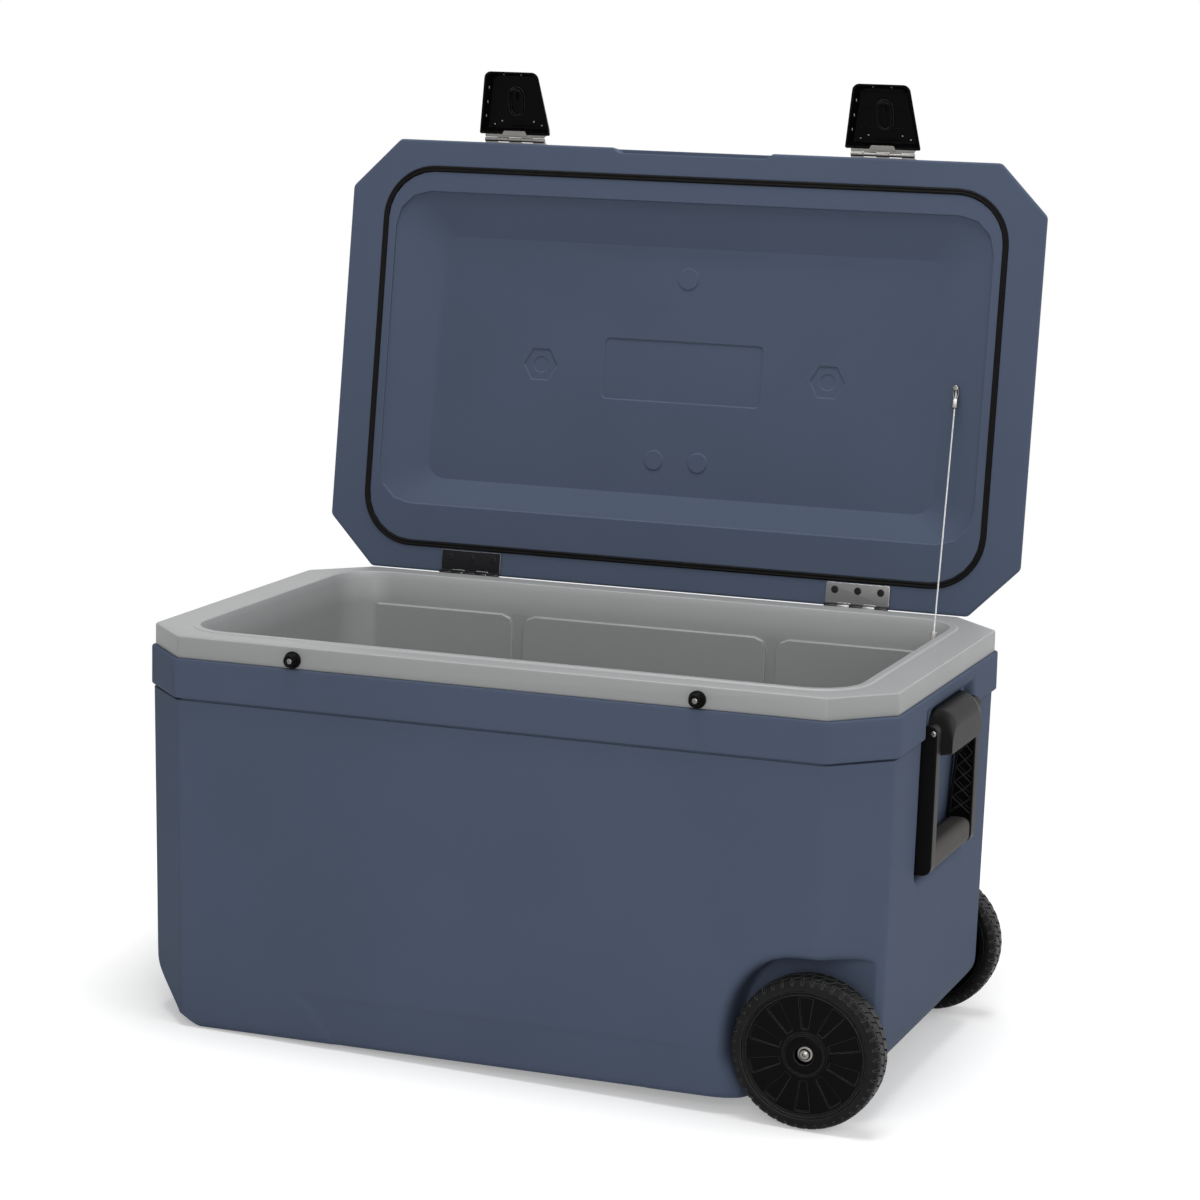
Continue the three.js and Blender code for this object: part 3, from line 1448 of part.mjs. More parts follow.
[['left', -1], ['right', 1]].forEach(([side, sign]) => {
  const x = sign * hinge.x;
  lidParts.add(place(piece(`lid_hinge_leaf_${side}`, lidHingeLeaf(), blackMetal), x, hingeY, hingeZ));
  cooler.add(place(piece(`body_hinge_leaf_${side}`, bodyHingeLeaf(), blackMetal), x, hingeY, hingeZ));
  cooler.add(place(
    piece(`hinge_pin_${side}`, solid(rod(hinge.pinRadius, -hinge.width / 2, hinge.width / 2, 'x')), steel),
    x, hingeY, hingeZ,
  ));
  hingeScrewXs.forEach((step, index) => {
    const lidScrew = solid(hingeScrew(lidScrewLength - gap));
    const lidHead = lidUnder - gap * 2 - hinge.leaf;
    lidParts.add(place(
      piece(`lid_hinge_screw_${side}_${index + 1}`, lidScrew, blackMetal),
      x + step, hingeY - hinge.screwFromAxis, lidHead,
    ));
    const bodyScrew = piece(
      `body_hinge_screw_${side}_${index + 1}`,
      solid(hingeScrew(bodyScrewLength)),
      blackMetal,
    );
    bodyScrew.rotation.x = Math.PI / 2;
    cooler.add(place(bodyScrew, x + step, hingeLeafY + hinge.leaf + gap, hingeZ - hinge.screwFromAxis));
  });

  const swinging = new THREE.Group();
  swinging.rotation.x = THREE.MathUtils.degToRad(latch.lean);
  swinging.add(
    piece(`latch_moving_leaf_${side}`, latchMovingLeaf(), steel),
    piece(`latch_cover_${side}`, latchCover(sign > 0), blackPlastic),
  );
  const latchPin = solid(rod(latch.pinRadius, -latch.leafHalfWidth, latch.leafHalfWidth, 'x'));
  lidParts.add(
    place(swinging, sign * latch.x, latchY, latchZ),
    place(piece(`latch_fixed_leaf_${side}`, latchFixedLeaf(), steel), sign * latch.x, latchY, latchZ),
    place(piece(`latch_pin_${side}`, latchPin, steel), sign * latch.x, latchY, latchZ),
  );
  const studPiece = piece(`latch_stud_${side}`, solid(latchStud()), blackPlastic);
  cooler.add(place(studPiece, sign * stud.x, -rim.halfDepth - gap, studZ));
  const studScrew = piece(
    `stud_screw_${side}`,
    solid(screw(stud.screwRadius, stud.length + gap * 2 + rim.wall, stud.headRadius, stud.head)),
    steel,
  );
  studScrew.rotation.x = -Math.PI / 2;
  cooler.add(place(studScrew, sign * stud.x, -rim.halfDepth - gap * 2 - stud.length, studZ));

  const handle = new THREE.Group();
  handle.rotation.z = sign > 0 ? 0 : Math.PI;
  handle.add(
    piece(`handle_bracket_${side}`, handleBracket(), blackPlastic),
    piece(`handle_bail_${side}`, handleBail(), blackPlastic),
    piece(`handle_grip_${side}`, handleGrip(), softGrip),
  );
  [['front', -1], ['back', 1]].forEach(([end, way]) => {
    const pivot = piece(`handle_screw_${side}_${end}`, solid(pivotScrewPiece()), steel);
    const localWay = way * sign;
    pivot.rotation.x = localWay * (Math.PI / 2);
    handle.add(place(pivot, bail.pivotX, localWay * (bail.outside + gap), pivotZ));
  });
  cooler.add(handle);
});

[['front', -1], ['back', 1]].forEach(([side, sign]) => {
  const group = new THREE.Group();
  group.rotation.z = sign > 0 ? Math.PI : 0;
  group.position.set(wheel.fromMiddle, sign * (wheel.outerFace - wheel.width / 2), wheelZ);
  group.add(
    piece(`tyre_${side}`, solid(tyre()), rubber),
    piece(`wheel_hub_${side}`, hub(), blackPlastic),
    piece(`axle_nut_${side}`, solid(axleNut()), steel),
  );
  cooler.add(group);
});

cooler.add(lidPivot);
const part = new THREE.Group();
part.add(cooler);

export default part;
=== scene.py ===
import json
import math
import bpy
from mathutils import Matrix, Vector

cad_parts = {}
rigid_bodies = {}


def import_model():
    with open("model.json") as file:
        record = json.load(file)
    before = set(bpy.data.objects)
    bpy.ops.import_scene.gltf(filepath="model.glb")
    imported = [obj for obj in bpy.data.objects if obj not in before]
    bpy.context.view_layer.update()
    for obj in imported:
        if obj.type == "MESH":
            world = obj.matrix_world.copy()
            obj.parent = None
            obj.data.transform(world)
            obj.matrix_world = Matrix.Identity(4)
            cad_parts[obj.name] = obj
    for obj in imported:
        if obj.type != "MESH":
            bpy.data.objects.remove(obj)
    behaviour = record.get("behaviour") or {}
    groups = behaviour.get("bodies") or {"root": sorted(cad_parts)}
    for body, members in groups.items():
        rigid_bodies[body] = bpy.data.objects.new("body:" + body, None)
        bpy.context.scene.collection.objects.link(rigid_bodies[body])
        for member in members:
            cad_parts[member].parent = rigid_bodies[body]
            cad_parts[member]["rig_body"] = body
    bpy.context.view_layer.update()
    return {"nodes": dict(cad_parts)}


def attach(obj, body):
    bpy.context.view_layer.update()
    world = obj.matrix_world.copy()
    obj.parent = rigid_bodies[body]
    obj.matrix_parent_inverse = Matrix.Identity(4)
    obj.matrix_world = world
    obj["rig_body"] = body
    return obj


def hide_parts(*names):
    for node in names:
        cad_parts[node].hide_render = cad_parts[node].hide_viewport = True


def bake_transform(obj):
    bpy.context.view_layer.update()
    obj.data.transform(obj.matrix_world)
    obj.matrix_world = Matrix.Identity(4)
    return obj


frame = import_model()
nodes = frame["nodes"]
sides = {"left": -1, "right": 1}
mm = 0.001

# The cooler's own frame, in mm from the middle of the rim's top, leans because its left end sits lower
leanOf = {"degrees": 1.534077, "x": -11.05663, "z": 412.85197}
hinge = {"x": 228, "y": 245.22, "z": -1.65, "open": 98.1}
wheelPlace = {"x": 333.2, "y": 223.5, "z": -354.4}


def shift(x, y, z):
    return Matrix.Translation((x * mm, y * mm, z * mm))


def spin(degrees, axis):
    return Matrix.Rotation(math.radians(degrees), 4, axis)


def spot(matrix, x, y, z):
    return matrix @ Vector((x * mm, y * mm, z * mm))


onBody = shift(leanOf["x"], 0, leanOf["z"]) @ spin(-leanOf["degrees"], "Y")
onHinge = onBody @ shift(0, hinge["y"], hinge["z"])
onLid = onHinge @ spin(-hinge["open"], "X") @ shift(0, -hinge["y"], -hinge["z"])

# The camera stands in front and to the right, a little above the rim: its place in mm, its angles in radians
view = {
    "lens": 105.6967,
    "sensor": 36,
    "place": (1283.9414, -3388.7845, 669.5298),
    "yaw": 0.35641526,
    "pitch": 0.17522937,
    "roll": 0.02317760,
    "reach": 200,
}


def makeCamera():
    data = bpy.data.cameras.new("camera")
    data.lens = view["lens"]
    data.sensor_width = view["sensor"]
    data.dof.use_dof = False
    data.clip_end = view["reach"]
    camera = bpy.data.objects.new("camera", data)
    bpy.context.scene.collection.objects.link(camera)
    turn = Matrix.Rotation(view["yaw"], 4, "Z") @ Matrix.Rotation(math.pi / 2 - view["pitch"], 4, "X")
    turn = turn @ Matrix.Rotation(view["roll"], 4, "Z")
    camera.matrix_world = onBody @ shift(*view["place"]) @ turn
    bpy.context.scene.camera = camera


makeCamera()
print("camera set")


# One output of a node, so that sums on it read as plain Python
class Wire:
    def __init__(self, tree, socket):
        self.tree = tree
        self.socket = socket

    def sum(self, operation, *terms):
        vectors = any(isinstance(x, Wire) and x.socket.type in ("VECTOR", "RGBA") for x in terms)
        kind = "ShaderNodeVectorMath" if vectors else "ShaderNodeMath"
        first, second = [(x, x, x) if vectors and isinstance(x, (int, float)) else x for x in terms]
        return self.tree.node(kind, {"operation": operation}, {0: first, 1: second})

    def __add__(self, other):
        return self.sum("ADD", self, other)

    def __radd__(self, other):
        return self.sum("ADD", other, self)

    def __sub__(self, other):
        return self.sum("SUBTRACT", self, other)

    def __rsub__(self, other):
        return self.sum("SUBTRACT", other, self)

    def __mul__(self, other):
        return self.sum("MULTIPLY", self, other)

    def __rmul__(self, other):
        return self.sum("MULTIPLY", other, self)


# A node tree under construction
class Tree:
    def __init__(self, tree):
        self.tree = tree
        tree.nodes.clear()

    def node(self, kind, settings=None, inputs=None, out=0):
        made = self.tree.nodes.new(kind)
        for name, value in (settings or {}).items():
            setattr(made, name, value)
        for socket, value in (inputs or {}).items():
            if isinstance(value, Wire):
                self.tree.links.new(value.socket, made.inputs[socket])
            else:
                made.inputs[socket].default_value = value
        return Wire(self, made.outputs[out]) if len(made.outputs) else None

    def span(self, value, low, high, newLow, newHigh):
        return self.node("ShaderNodeMapRange", None, {0: value, 1: low, 2: high, 3: newLow, 4: newHigh})

    def rays(self, *kinds):
        return sum(self.node("ShaderNodeLightPath", out=f"Is {kind} Ray") for kind in kinds)


# A material under construction, its fixed values on the shader's own sockets
class Paint(Tree):
    def __init__(self, name, constants):
        self.material = bpy.data.materials.new(name)
        self.material.use_nodes = True
        super().__init__(self.material.node_tree)
        self.shader = self.node("ShaderNodeBsdfPrincipled", None, constants)
        self.place = self.node("ShaderNodeTexCoord", out="Object")

    def feed(self, socket, wire):
        self.tree.links.new(wire.socket, self.shader.socket.node.inputs[socket])

    def done(self, last=None):
        self.node("ShaderNodeOutputMaterial", None, {0: last or self.shader})
        return self.material

    def noise(self, scale, detail=2, roughness=0.5, at=None):
        inputs = {"Vector": at or self.place, "Scale": scale, "Detail": detail, "Roughness": roughness}
        return self.node("ShaderNodeTexNoise", None, inputs)

    def streaks(self, along, across):
        drawn = self.node("ShaderNodeMapping", None, {"Vector": self.place, "Scale": (along, across, across)})
        return self.noise(1, 4, 0.6, drawn)

    def mix(self, factor, first, second):
        return self.node("ShaderNodeMix", {"data_type": "RGBA"}, {0: factor, 6: first, 7: second}, out=2)

    def bump(self, height, distance, strength, normal=None):
        inputs = {"Height": height, "Distance": distance * mm, "Strength": strength}
        if normal:
            inputs["Normal"] = normal
        return self.node("ShaderNodeBump", None, inputs)

    def softened(self, width, samples=6):
        return self.node("ShaderNodeBevel", {"samples": samples}, {"Radius": width * mm})

    # How far the softened normal turns from the plain one, from 0 on a face to 1 on an edge, the mask for
    # painted edge highlights
    def edgeMask(self, soft, start, full):
        plain = self.node("ShaderNodeNewGeometry", out="Normal")
        turned = self.node("ShaderNodeVectorMath", {"operation": "DOT_PRODUCT"}, {0: soft, 1: plain}, out=1)
        return self.span(1 - turned, start, full, 0, 1)


# Levels from 0 to 255, as seen on a screen, turned into a shader's colour
def fromScreen(levels):
    shares = [level / 255 for level in levels]
    return (*(s / 12.92 if s <= 0.04045 else ((s + 0.055) / 1.055) ** 2.4 for s in shares), 1)


# Moulded plastic: a fine grain, faint flow clouding, and a painted highlight on its softened edges, strongest
# where they face up
def mouldedPlastic(name, colour, deeper, edgeHighlight, roughness, grain, edge, level):
    paint = Paint(name, {"Specular IOR Level": level})
    cloud = paint.span(paint.noise(7, 3), 0.3, 0.7, 0, 1)
    speck = paint.noise(900)
    tone = paint.mix(cloud * 0.7 + speck * 0.3, fromScreen(colour), fromScreen(deeper))
    soft = paint.softened(edge)
    upward = paint.node("ShaderNodeSeparateXYZ", None, {0: soft}, out="Z")
    # painted edge highlight, stronger on edges that face up, as if lit from above
    lit = paint.edgeMask(soft, 0.006, 0.06) * paint.span(upward, -0.3, 0.4, 0.35, 1)
    paint.feed("Base Color", paint.mix(lit, tone, fromScreen(edgeHighlight)))
    paint.feed("Roughness", roughness + cloud * 0.05 + (speck - 0.5) * 0.12)
    paint.feed("Normal", paint.bump(paint.noise(1500, 3, 0.6), grain, 0.6, soft))
    return paint.done()


# Tyre and seal rubber: dusty, dull, with a skin of tiny pores, and a painted highlight on its softened edges
def blackRubber(name, colour, dusty, edgeHighlight, roughness, pores, edge, level):
    paint = Paint(name, {"Specular IOR Level": level})
    dust = paint.span(paint.noise(45, 5, 0.65), 0.4, 0.75, 0, 1)
    tone = paint.mix(dust, fromScreen(colour), fromScreen(dusty))
    soft = paint.softened(edge)
    # painted highlight on the softened edges
    paint.feed("Base Color", paint.mix(paint.edgeMask(soft, 0.02, 0.12), tone, fromScreen(edgeHighlight)))
    paint.feed("Roughness", roughness + dust * 0.12)
    paint.feed("Normal", paint.bump(paint.noise(1300, 3, 0.65), pores, 0.8, soft))
    return paint.done()


# Metal rolled or turned, with scratches drawn out along x
def brushedMetal(name, colour, stained, roughness, metallic, scratch, edge):
    paint = Paint(name, {"Metallic": metallic})
    streak, stain = paint.streaks(60, 2600), paint.noise(120, 3)
    paint.feed("Base Color", paint.mix(streak * 0.6 + stain * 0.4, fromScreen(colour), fromScreen(stained)))
    paint.feed("Roughness", roughness + (streak - 0.5) * 0.2 + (stain - 0.5) * 0.1)
    paint.feed("Normal", paint.bump(streak, scratch, 0.5, paint.softened(edge, 4)))
    return paint.done()


# Foam: open pale cells of two sizes
def foamCells(name, colour, deeper):
    paint = Paint(name, {"Specular IOR Level": 0.2, "Roughness": 0.95})
    cells, small = [
        paint.node("ShaderNodeTexVoronoi", {"feature": feature}, {"Vector": paint.place, "Scale": scale})
        for feature, scale in (("SMOOTH_F1", 420), ("F1", 1300))
    ]
    depth = cells * 0.7 + small * 0.3
    paint.feed("Base Color", paint.mix(depth, fromScreen(colour), fromScreen(deeper)))
    paint.feed("Normal", paint.bump(depth, 0.5, 0.8))
    return paint.done()


# Hinge leaves of black steel with a painted reflection, dark on the left leaf and bright on the right one, so
# the left one is darker than the right one, and a painted highlight on their edges
def leafSteel(name, leftReflection, rightReflection, stained, edgeHighlight):
    paint = Paint(name, {"Metallic": 0.9})
    streak = paint.streaks(50, 2200)
    across = paint.node("ShaderNodeSeparateXYZ", None, {0: paint.place}, out="X")
    # painted reflection: dark at the left leaf, bright at the right one
    tone = paint.mix(paint.span(across, -0.15, 0.15, 0, 1), fromScreen(leftReflection), fromScreen(rightReflection))
    tone = paint.mix(streak * 0.35, tone, fromScreen(stained))
    soft = paint.softened(0.9)
    # painted highlight on the softened edges
    paint.feed("Base Color", paint.mix(paint.edgeMask(soft, 0.01, 0.08), tone, fromScreen(edgeHighlight)))
    paint.feed("Roughness", 0.3 + (streak - 0.5) * 0.2)
    paint.feed("Normal", paint.bump(streak, 0.006, 0.5, soft))
    return paint.done()


# Colours, then grain, pores, scratches and softened edges in mm; the last colour of a plastic, rubber or leaf
# is a painted edge highlight
finishes = {
    "blue_plastic": mouldedPlastic(
        "bluePlastic", (74, 83, 101), (71, 80, 97), (86, 96, 113),
        roughness=0.6, grain=0.02, edge=1.8, level=0.02,
    ),
    "grey_plastic": mouldedPlastic(
        "greyPlastic", (137, 138, 138), (133, 134, 134), (160, 161, 161),
        roughness=0.42, grain=0.015, edge=1.8, level=0.4,
    ),
    "black_plastic": mouldedPlastic(
        "blackPlastic", (11, 11, 12), (9, 9, 10), (74, 73, 73),
        roughness=0.36, grain=0.02, edge=0.8, level=0.07,
    ),
    "glossBlack": mouldedPlastic(
        "glossBlack", (8, 8, 8), (6, 6, 7), (96, 95, 94),
        roughness=0.3, grain=0.01, edge=0.38, level=0.04,
    ),
    "tyre_rubber": blackRubber(
        "tyreRubber", (15, 15, 15), (24, 24, 24), (100, 100, 100),
        roughness=0.36, pores=0.05, edge=0.7, level=0.09,
    ),
    "seal_rubber": blackRubber(
        "sealRubber", (12, 12, 12), (19, 18, 18), (62, 56, 52),
        roughness=0.5, pores=0.02, edge=0.6, level=0.06,
    ),
    "grip_rubber": blackRubber(
        "gripRubber", (60, 57, 55), (66, 63, 60), (84, 80, 77),
        roughness=0.6, pores=0.03, edge=1, level=0.14,
    ),
    "foam": foamCells("foamCells", (226, 220, 196), (196, 188, 160)),
    "steel": brushedMetal(
        "brushedSteel", (150, 148, 144), (104, 102, 99), roughness=0.3, metallic=1, scratch=0.01, edge=0.2,
    ),
    "strandSteel": brushedMetal(
        "strandSteel", (208, 208, 208), (176, 176, 175), roughness=0.4, metallic=0.3, scratch=0.01, edge=0.2,
    ),
    "black_steel": brushedMetal(
        "blackSteel", (22, 22, 24), (14, 14, 15), roughness=0.36, metallic=0.7, scratch=0.006, edge=0.3,
    ),
    # The lid's hinge leaves: black steel with a painted reflection and painted edge highlights
    "leaf": leafSteel(
        "leafSteel", (30, 30, 32), (126, 125, 125), stained=(22, 22, 24), edgeHighlight=(190, 190, 190),
    ),
}
print("finishes mixed")


# Merged points, no stored normals, and smooth shading over every edge that turns by less than an angle
def makeShading(degrees):
    group = bpy.data.node_groups.new("softShading", "GeometryNodeTree")
    for way in ("INPUT", "OUTPUT"):
        group.interface.new_socket("Geometry", in_out=way, socket_type="NodeSocketGeometry")
    tree = Tree(group)
    inputs = {"Geometry": tree.node("NodeGroupInput"), "Distance": 0.02 * mm}
    merged = tree.node("GeometryNodeMergeByDistance", None, inputs)
    bare = tree.node("GeometryNodeRemoveAttribute", None, {"Geometry": merged, "Name": "custom_normal"})
    faces = tree.node("GeometryNodeSetShadeSmooth", None, {"Geometry": bare})
    angle = tree.node("GeometryNodeInputMeshEdgeAngle", out="Unsigned Angle")
    flat = tree.node("FunctionNodeCompare", {"operation": "LESS_THAN"}, {0: angle, 1: math.radians(degrees)})
    inputs = {"Geometry": faces, "Shade Smooth": flat}
    edges = tree.node("GeometryNodeSetShadeSmooth", {"domain": "EDGE"}, inputs)
    tree.node("NodeGroupOutput", None, {0: edges})
    return group


def slotOf(name):
    words = {"tyre": "tyre_rubber", "grip": "grip_rubber", "gasket": "seal_rubber", "seal": "seal_rubber"}
    words.update({"foam": "foam", "hinge_leaf": "black_steel", "hinge_screw": "black_steel"})
    for word, slot in words.items():
        if word in name:
            return slot
    if name == "inner_liner":
        return "grey_plastic"
    if name in ("outer_shell", "lid_shell", "lid_pan"):
        return "blue_plastic"
    plastic = ("latch_cover", "latch_stud", "handle_bracket", "handle_bail", "wheel_hub", "drain")
    return "black_plastic" if name.startswith(plastic) else "steel"


# Every CAD node gets its finish, and smooth shading between faces that meet at a small angle
softShading, crispShading = makeShading(32), makeShading(16.5)
for name, node in nodes.items():
    node.data.materials.clear()
    node.data.materials.append(finishes[slotOf(name)])
    softened = node.modifiers.new("softShading", "NODES")
    softened.node_group = crispShading if name == "lid_pan" else softShading
print("CAD nodes finished")


# A mesh of our own, its part given as points and faces in mm in the frame of what carries it
def makePiece(name, body, slot, matrix, part, replaced=(), sharp=35, finish=None):
    points, faces = part
    mesh = bpy.data.meshes.new(name)
    mesh.from_pydata([matrix @ (Vector(p) * mm) for p in points], [], faces)
    mesh.validate()
    mesh.update()
    mesh.polygons.foreach_set("use_smooth", [True] * len(mesh.polygons))
    mesh.set_sharp_from_angle(angle=math.radians(sharp))
    piece = bpy.data.objects.new(name, mesh)
    bpy.context.scene.collection.objects.link(piece)
    mesh.materials.append(finishes[finish or slot])
    if body:
        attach(piece, body)
    if replaced:
        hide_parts(*replaced)
    return piece


# Rows of points that each run once round the form, joined by four-sided faces
def grid(rows, closedRows=False):
    points = [p for row in rows for p in row]
    width = len(rows[0])
    faces = []
    for i in range(len(rows) if closedRows else len(rows) - 1):
        here, below = i * width, ((i + 1) % len(rows)) * width
        for j in range(width):
            following = (j + 1) % width
            faces.append((here + j, here + following, below + following, below + j))
    return points, faces


# The same with a face over the first row and one over the last
def capped(rows):
    points, faces = grid(rows)
    width = len(rows[0])
    faces.append(tuple(reversed(range(width))))
    faces.append(tuple(range(len(points) - width, len(points))))
    return points, faces


def joined(parts):
    points, faces = [], []
    for made, linked in parts:
        offset = len(points)
        points += made
        faces += [tuple(i + offset for i in face) for face in linked]
    return points, faces


def moved(part, matrix):
    points, faces = part
    return [tuple(matrix @ Vector(p)) for p in points], faces


# Every corner of an outline replaced by an arc that touches both its sides
def rounded(corners, radii, steps=6):
    outline = []
    for index, corner in enumerate(corners):
        radius = radii[index] if isinstance(radii, (list, tuple)) else radii
        here = Vector(corner)
        toBefore = (Vector(corners[index - 1]) - here).normalized()
        toAfter = (Vector(corners[(index + 1) % len(corners)]) - here).normalized()
        half = toBefore.angle(toAfter) / 2
        centre = here + (toBefore + toAfter).normalized() * (radius / math.sin(half))
        start = here + toBefore * (radius / math.tan(half)) - centre
        way = 1 if toBefore.x * toAfter.y - toBefore.y * toAfter.x > 0 else -1
        turn = way * (2 * half - math.pi)
        for step in range(steps + 1):
            angle = turn * step / steps
            x = start.x * math.cos(angle) - start.y * math.sin(angle)
            y = start.x * math.sin(angle) + start.y * math.cos(angle)
            outline.append((centre.x + x, centre.y + y))
    return outline


def boxOutline(x0, x1, y0, y1, radius, steps=6):
    return rounded([(x0, y0), (x1, y0), (x1, y1), (x0, y1)], radius, steps)


def circle(radius, count, x=0, y=0):
    turns = [2 * math.pi * i / count for i in range(count)]
    return [(x + radius * math.cos(t), y + radius * math.sin(t)) for t in turns]


# Moves every point of a closed anticlockwise outline inwards by one distance
def inset(outline, distance):
    shrunk = []
    for index, point in enumerate(outline):
        before, here = Vector(outline[index - 1]), Vector(point)
        after = Vector(outline[(index + 1) % len(outline)])
        a, b = (here - before).normalized(), (after - here).normalized()
        first, second = Vector((-a.y, a.x)), Vector((-b.y, b.x))
        middle = (first + second).normalized()
        shrunk.append(tuple(here + middle * (distance / max(middle.dot(first), 0.4))))
    return shrunk


layers = {
    "x": lambda u, v, w: (w, u, v),
    "y": lambda u, v, w: (u, w, v),
    "z": lambda u, v, w: (u, v, w),
}


# Rings of one outline, each at its own inset and its own height along an axis
def layRings(outline, rings, axis):
    lay = layers[axis]
    return [[lay(u, v, height) for u, v in inset(outline, distance)] for distance, height in rings]


def stack(outline, rings, axis):
    return capped(layRings(outline, rings, axis))


# A band that follows an outline, its section given as insets and heights
def band(outline, section, axis):
    return grid(layRings(outline, section, axis), closedRows=True)


# The insets and rises of an edge rounded by a quarter circle
def quarter(radius, steps=5):
    angles = [math.pi / 2 * step / steps for step in range(steps + 1)]
    return [(radius * (1 - math.sin(angle)), radius * (1 - math.cos(angle))) for angle in angles]


# A solid of one outline with both its edges rounded
def slab(outline, low, high, axis, lowRound, highRound):
    rings = [(inward, low + rise) for inward, rise in quarter(lowRound)]
    rings += [(inward, high - rise) for inward, rise in reversed(quarter(highRound))]
    return stack(outline, rings, axis)


# A closed profile of radii and heights turned round y
def lathe(profile, steps):
    turns = [2 * math.pi * i / steps for i in range(steps)]
    rows = [[(r * math.sin(t), height, r * math.cos(t)) for t in turns] for r, height in profile]
    return grid(rows, closedRows=True)


def smoothed(piece):
    normals = piece.modifiers.new("cleanNormals", "WEIGHTED_NORMAL")
    normals.keep_sharp = True
    normals.weight = 80


# A screw head turned round z, facing -z, with a cross recess sunk in its dome
def crossHead(radius, height, dome, recess, arm):
    shares = [0.04, 0.12, 0.22, 0.32, 0.42, 0.5, 0.54, 0.58, 0.62, 0.72, 0.84, 0.93, 0.98, 1]
    steps, crossShare, rimShare = 48, 0.6, 0.95
    rows = []
    for share in shares:
        top = -height - dome * (1 - share * share) + height * max(share - rimShare, 0) * 4
        row = []
        for x, y in circle(radius * share, steps):
            sunk = recess if min(abs(x), abs(y)) < arm and share < crossShare else 0
            row.append((x, y, top + sunk * (1 - share * crossShare)))
        rows.append(row)
    rows.append([(x, y, 0) for x, y, _ in rows[-1]])
    points, faces = grid(rows)
    return points, faces + [tuple(range(steps))]


# A head of radius, height, dome, recess and arm, on a shank of radius, length and rounded tip
def screw(head, shank, count=20):
    radius, length, tip = shank
    return joined([crossHead(*head), slab(circle(radius, count), 0, length, "z", 0, tip)])


# The stay cable: a twisted wire rope, pulled straight by the open lid
cable = {
    "lidEnd": (318, -1, 12),
    "tubEnd": (347.5, 124.5, -20),
    "clear": 3.1,
    "diameter": 1.7,
    "strands": 6,
    "strandRadius": 0.3,
    "coreShare": 1.15,
    "layLength": 13,
    "steps": 300,
    "folds": 0.65,
    "anchor": {"head": (3, 0.9, 0.6, 0.9, 0.5), "shank": (1.6, 13, 0.3), "rise": -3.2},
}
lidSpot, tubSpot = spot(onLid, *cable["lidEnd"]), spot(onBody, *cable["tubEnd"])


def makeCable():
    way = (lidSpot - tubSpot).normalized()
    start = tubSpot + way * cable["clear"] * mm
    length = (lidSpot - tubSpot).length - 2 * cable["clear"] * mm
    across = way.orthogonal().normalized()
    upward = way.cross(across)

    def outward(turn):
        return across * math.cos(turn) + upward * math.sin(turn)

    parts = []
    strands, steps = cable["strands"], cable["steps"]
    for strand in range(strands + 1):
        reach = 0 if strand == strands else cable["diameter"] / 2 - cable["strandRadius"]
        thickness = cable["strandRadius"] * (1 if reach else cable["coreShare"])
        rows = []
        for step in range(steps + 1):
            travel = length * step / steps
            turn = 2 * math.pi * (travel / mm / cable["layLength"] + strand / strands)
            middle = start + way * travel + outward(turn) * reach * mm
            ring = [middle + outward(turn + k * math.pi / 3) * thickness * mm for k in range(6)]
            rows.append([tuple(p / mm) for p in ring])
        parts.append(capped(rows))
    part = joined(parts)
    rope = makePiece("stayRope", None, "steel", Matrix.Identity(4), part, ["stay_cable"], 60, "strandSteel")
    tuple(start + way * length * cable["folds"])
    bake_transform(rope)
    path = [start + way * length * i / 20 for i in range(21)]


# Its ends: an eye of the same rope round a small screw, closed by a flattened sleeve
cableEnd = {
    "eyeHalf": 3.1,
    "eyeLength": 15,
    "eyeNarrowing": 0.28,
    "eyeReach": (0.42, 0.52),
    "eyeFlatness": 0.4,
    "eyeRope": 0.85,
    "eyeSteps": 48,
    "eyeSides": 8,
    "sleeve": (14, 24.5),
    "sleeveHalf": (3.1, 1.9),
}


def cableFrame(here, there):
    way = (there - here).normalized()
    across = (Vector((1, 0, 0)) - way * way.x).normalized()
    frameOf = Matrix((across, way.cross(across), way)).transposed().to_4x4()
    frameOf.translation = here
    return frameOf


def eyeRows():
    rows = []
    middleShare, reachShare = cableEnd["eyeReach"]
    steps, count = cableEnd["eyeSteps"], cableEnd["eyeSides"]
    for step in range(steps):
        turn = 2 * math.pi * step / steps
        wide = cableEnd["eyeHalf"] * (1 - cableEnd["eyeNarrowing"] * (1 - math.cos(turn)) / 2)
        far = cableEnd["eyeLength"] * (middleShare - reachShare * math.cos(turn))
        middle = Vector((wide * math.sin(turn), 0, far))
        out = Vector((math.sin(turn), 0, -math.cos(turn) * cableEnd["eyeFlatness"])).normalized()
        angles = [2 * math.pi * k / count for k in range(count)]
        ring = [out * math.cos(a) + Vector((0, math.sin(a), 0)) for a in angles]
        rows.append([tuple(middle + p * cableEnd["eyeRope"]) for p in ring])
    return rows


def makeCableEnd(name, body, matrix):
    low, high = cableEnd["sleeve"]
    wide, thick = cableEnd["sleeveHalf"]
    sleeve = slab(boxOutline(-wide, wide, -thick, thick, thick - 0.1), low, high, "z", 0.5, 0.5)
    part = joined([grid(eyeRows(), closedRows=True), sleeve])
    makePiece(name, body, "steel", matrix, part, (), 45)


def makeLidAnchor():
    x, y, z = cable["lidEnd"]
    anchor = cable["anchor"]
    part = moved(screw(anchor["head"], anchor["shank"]), Matrix.Translation((x, y, z + anchor["rise"])))
    makePiece("lidAnchor", "lid", "steel", onLid, part, ["cable_anchor_lid"])


makeCable()
makeCableEnd("cableEyeLid", "lid", cableFrame(lidSpot, tubSpot))
makeCableEnd("cableEyeTub", "body", cableFrame(tubSpot, lidSpot))
makeLidAnchor()
print("stay cable strung")


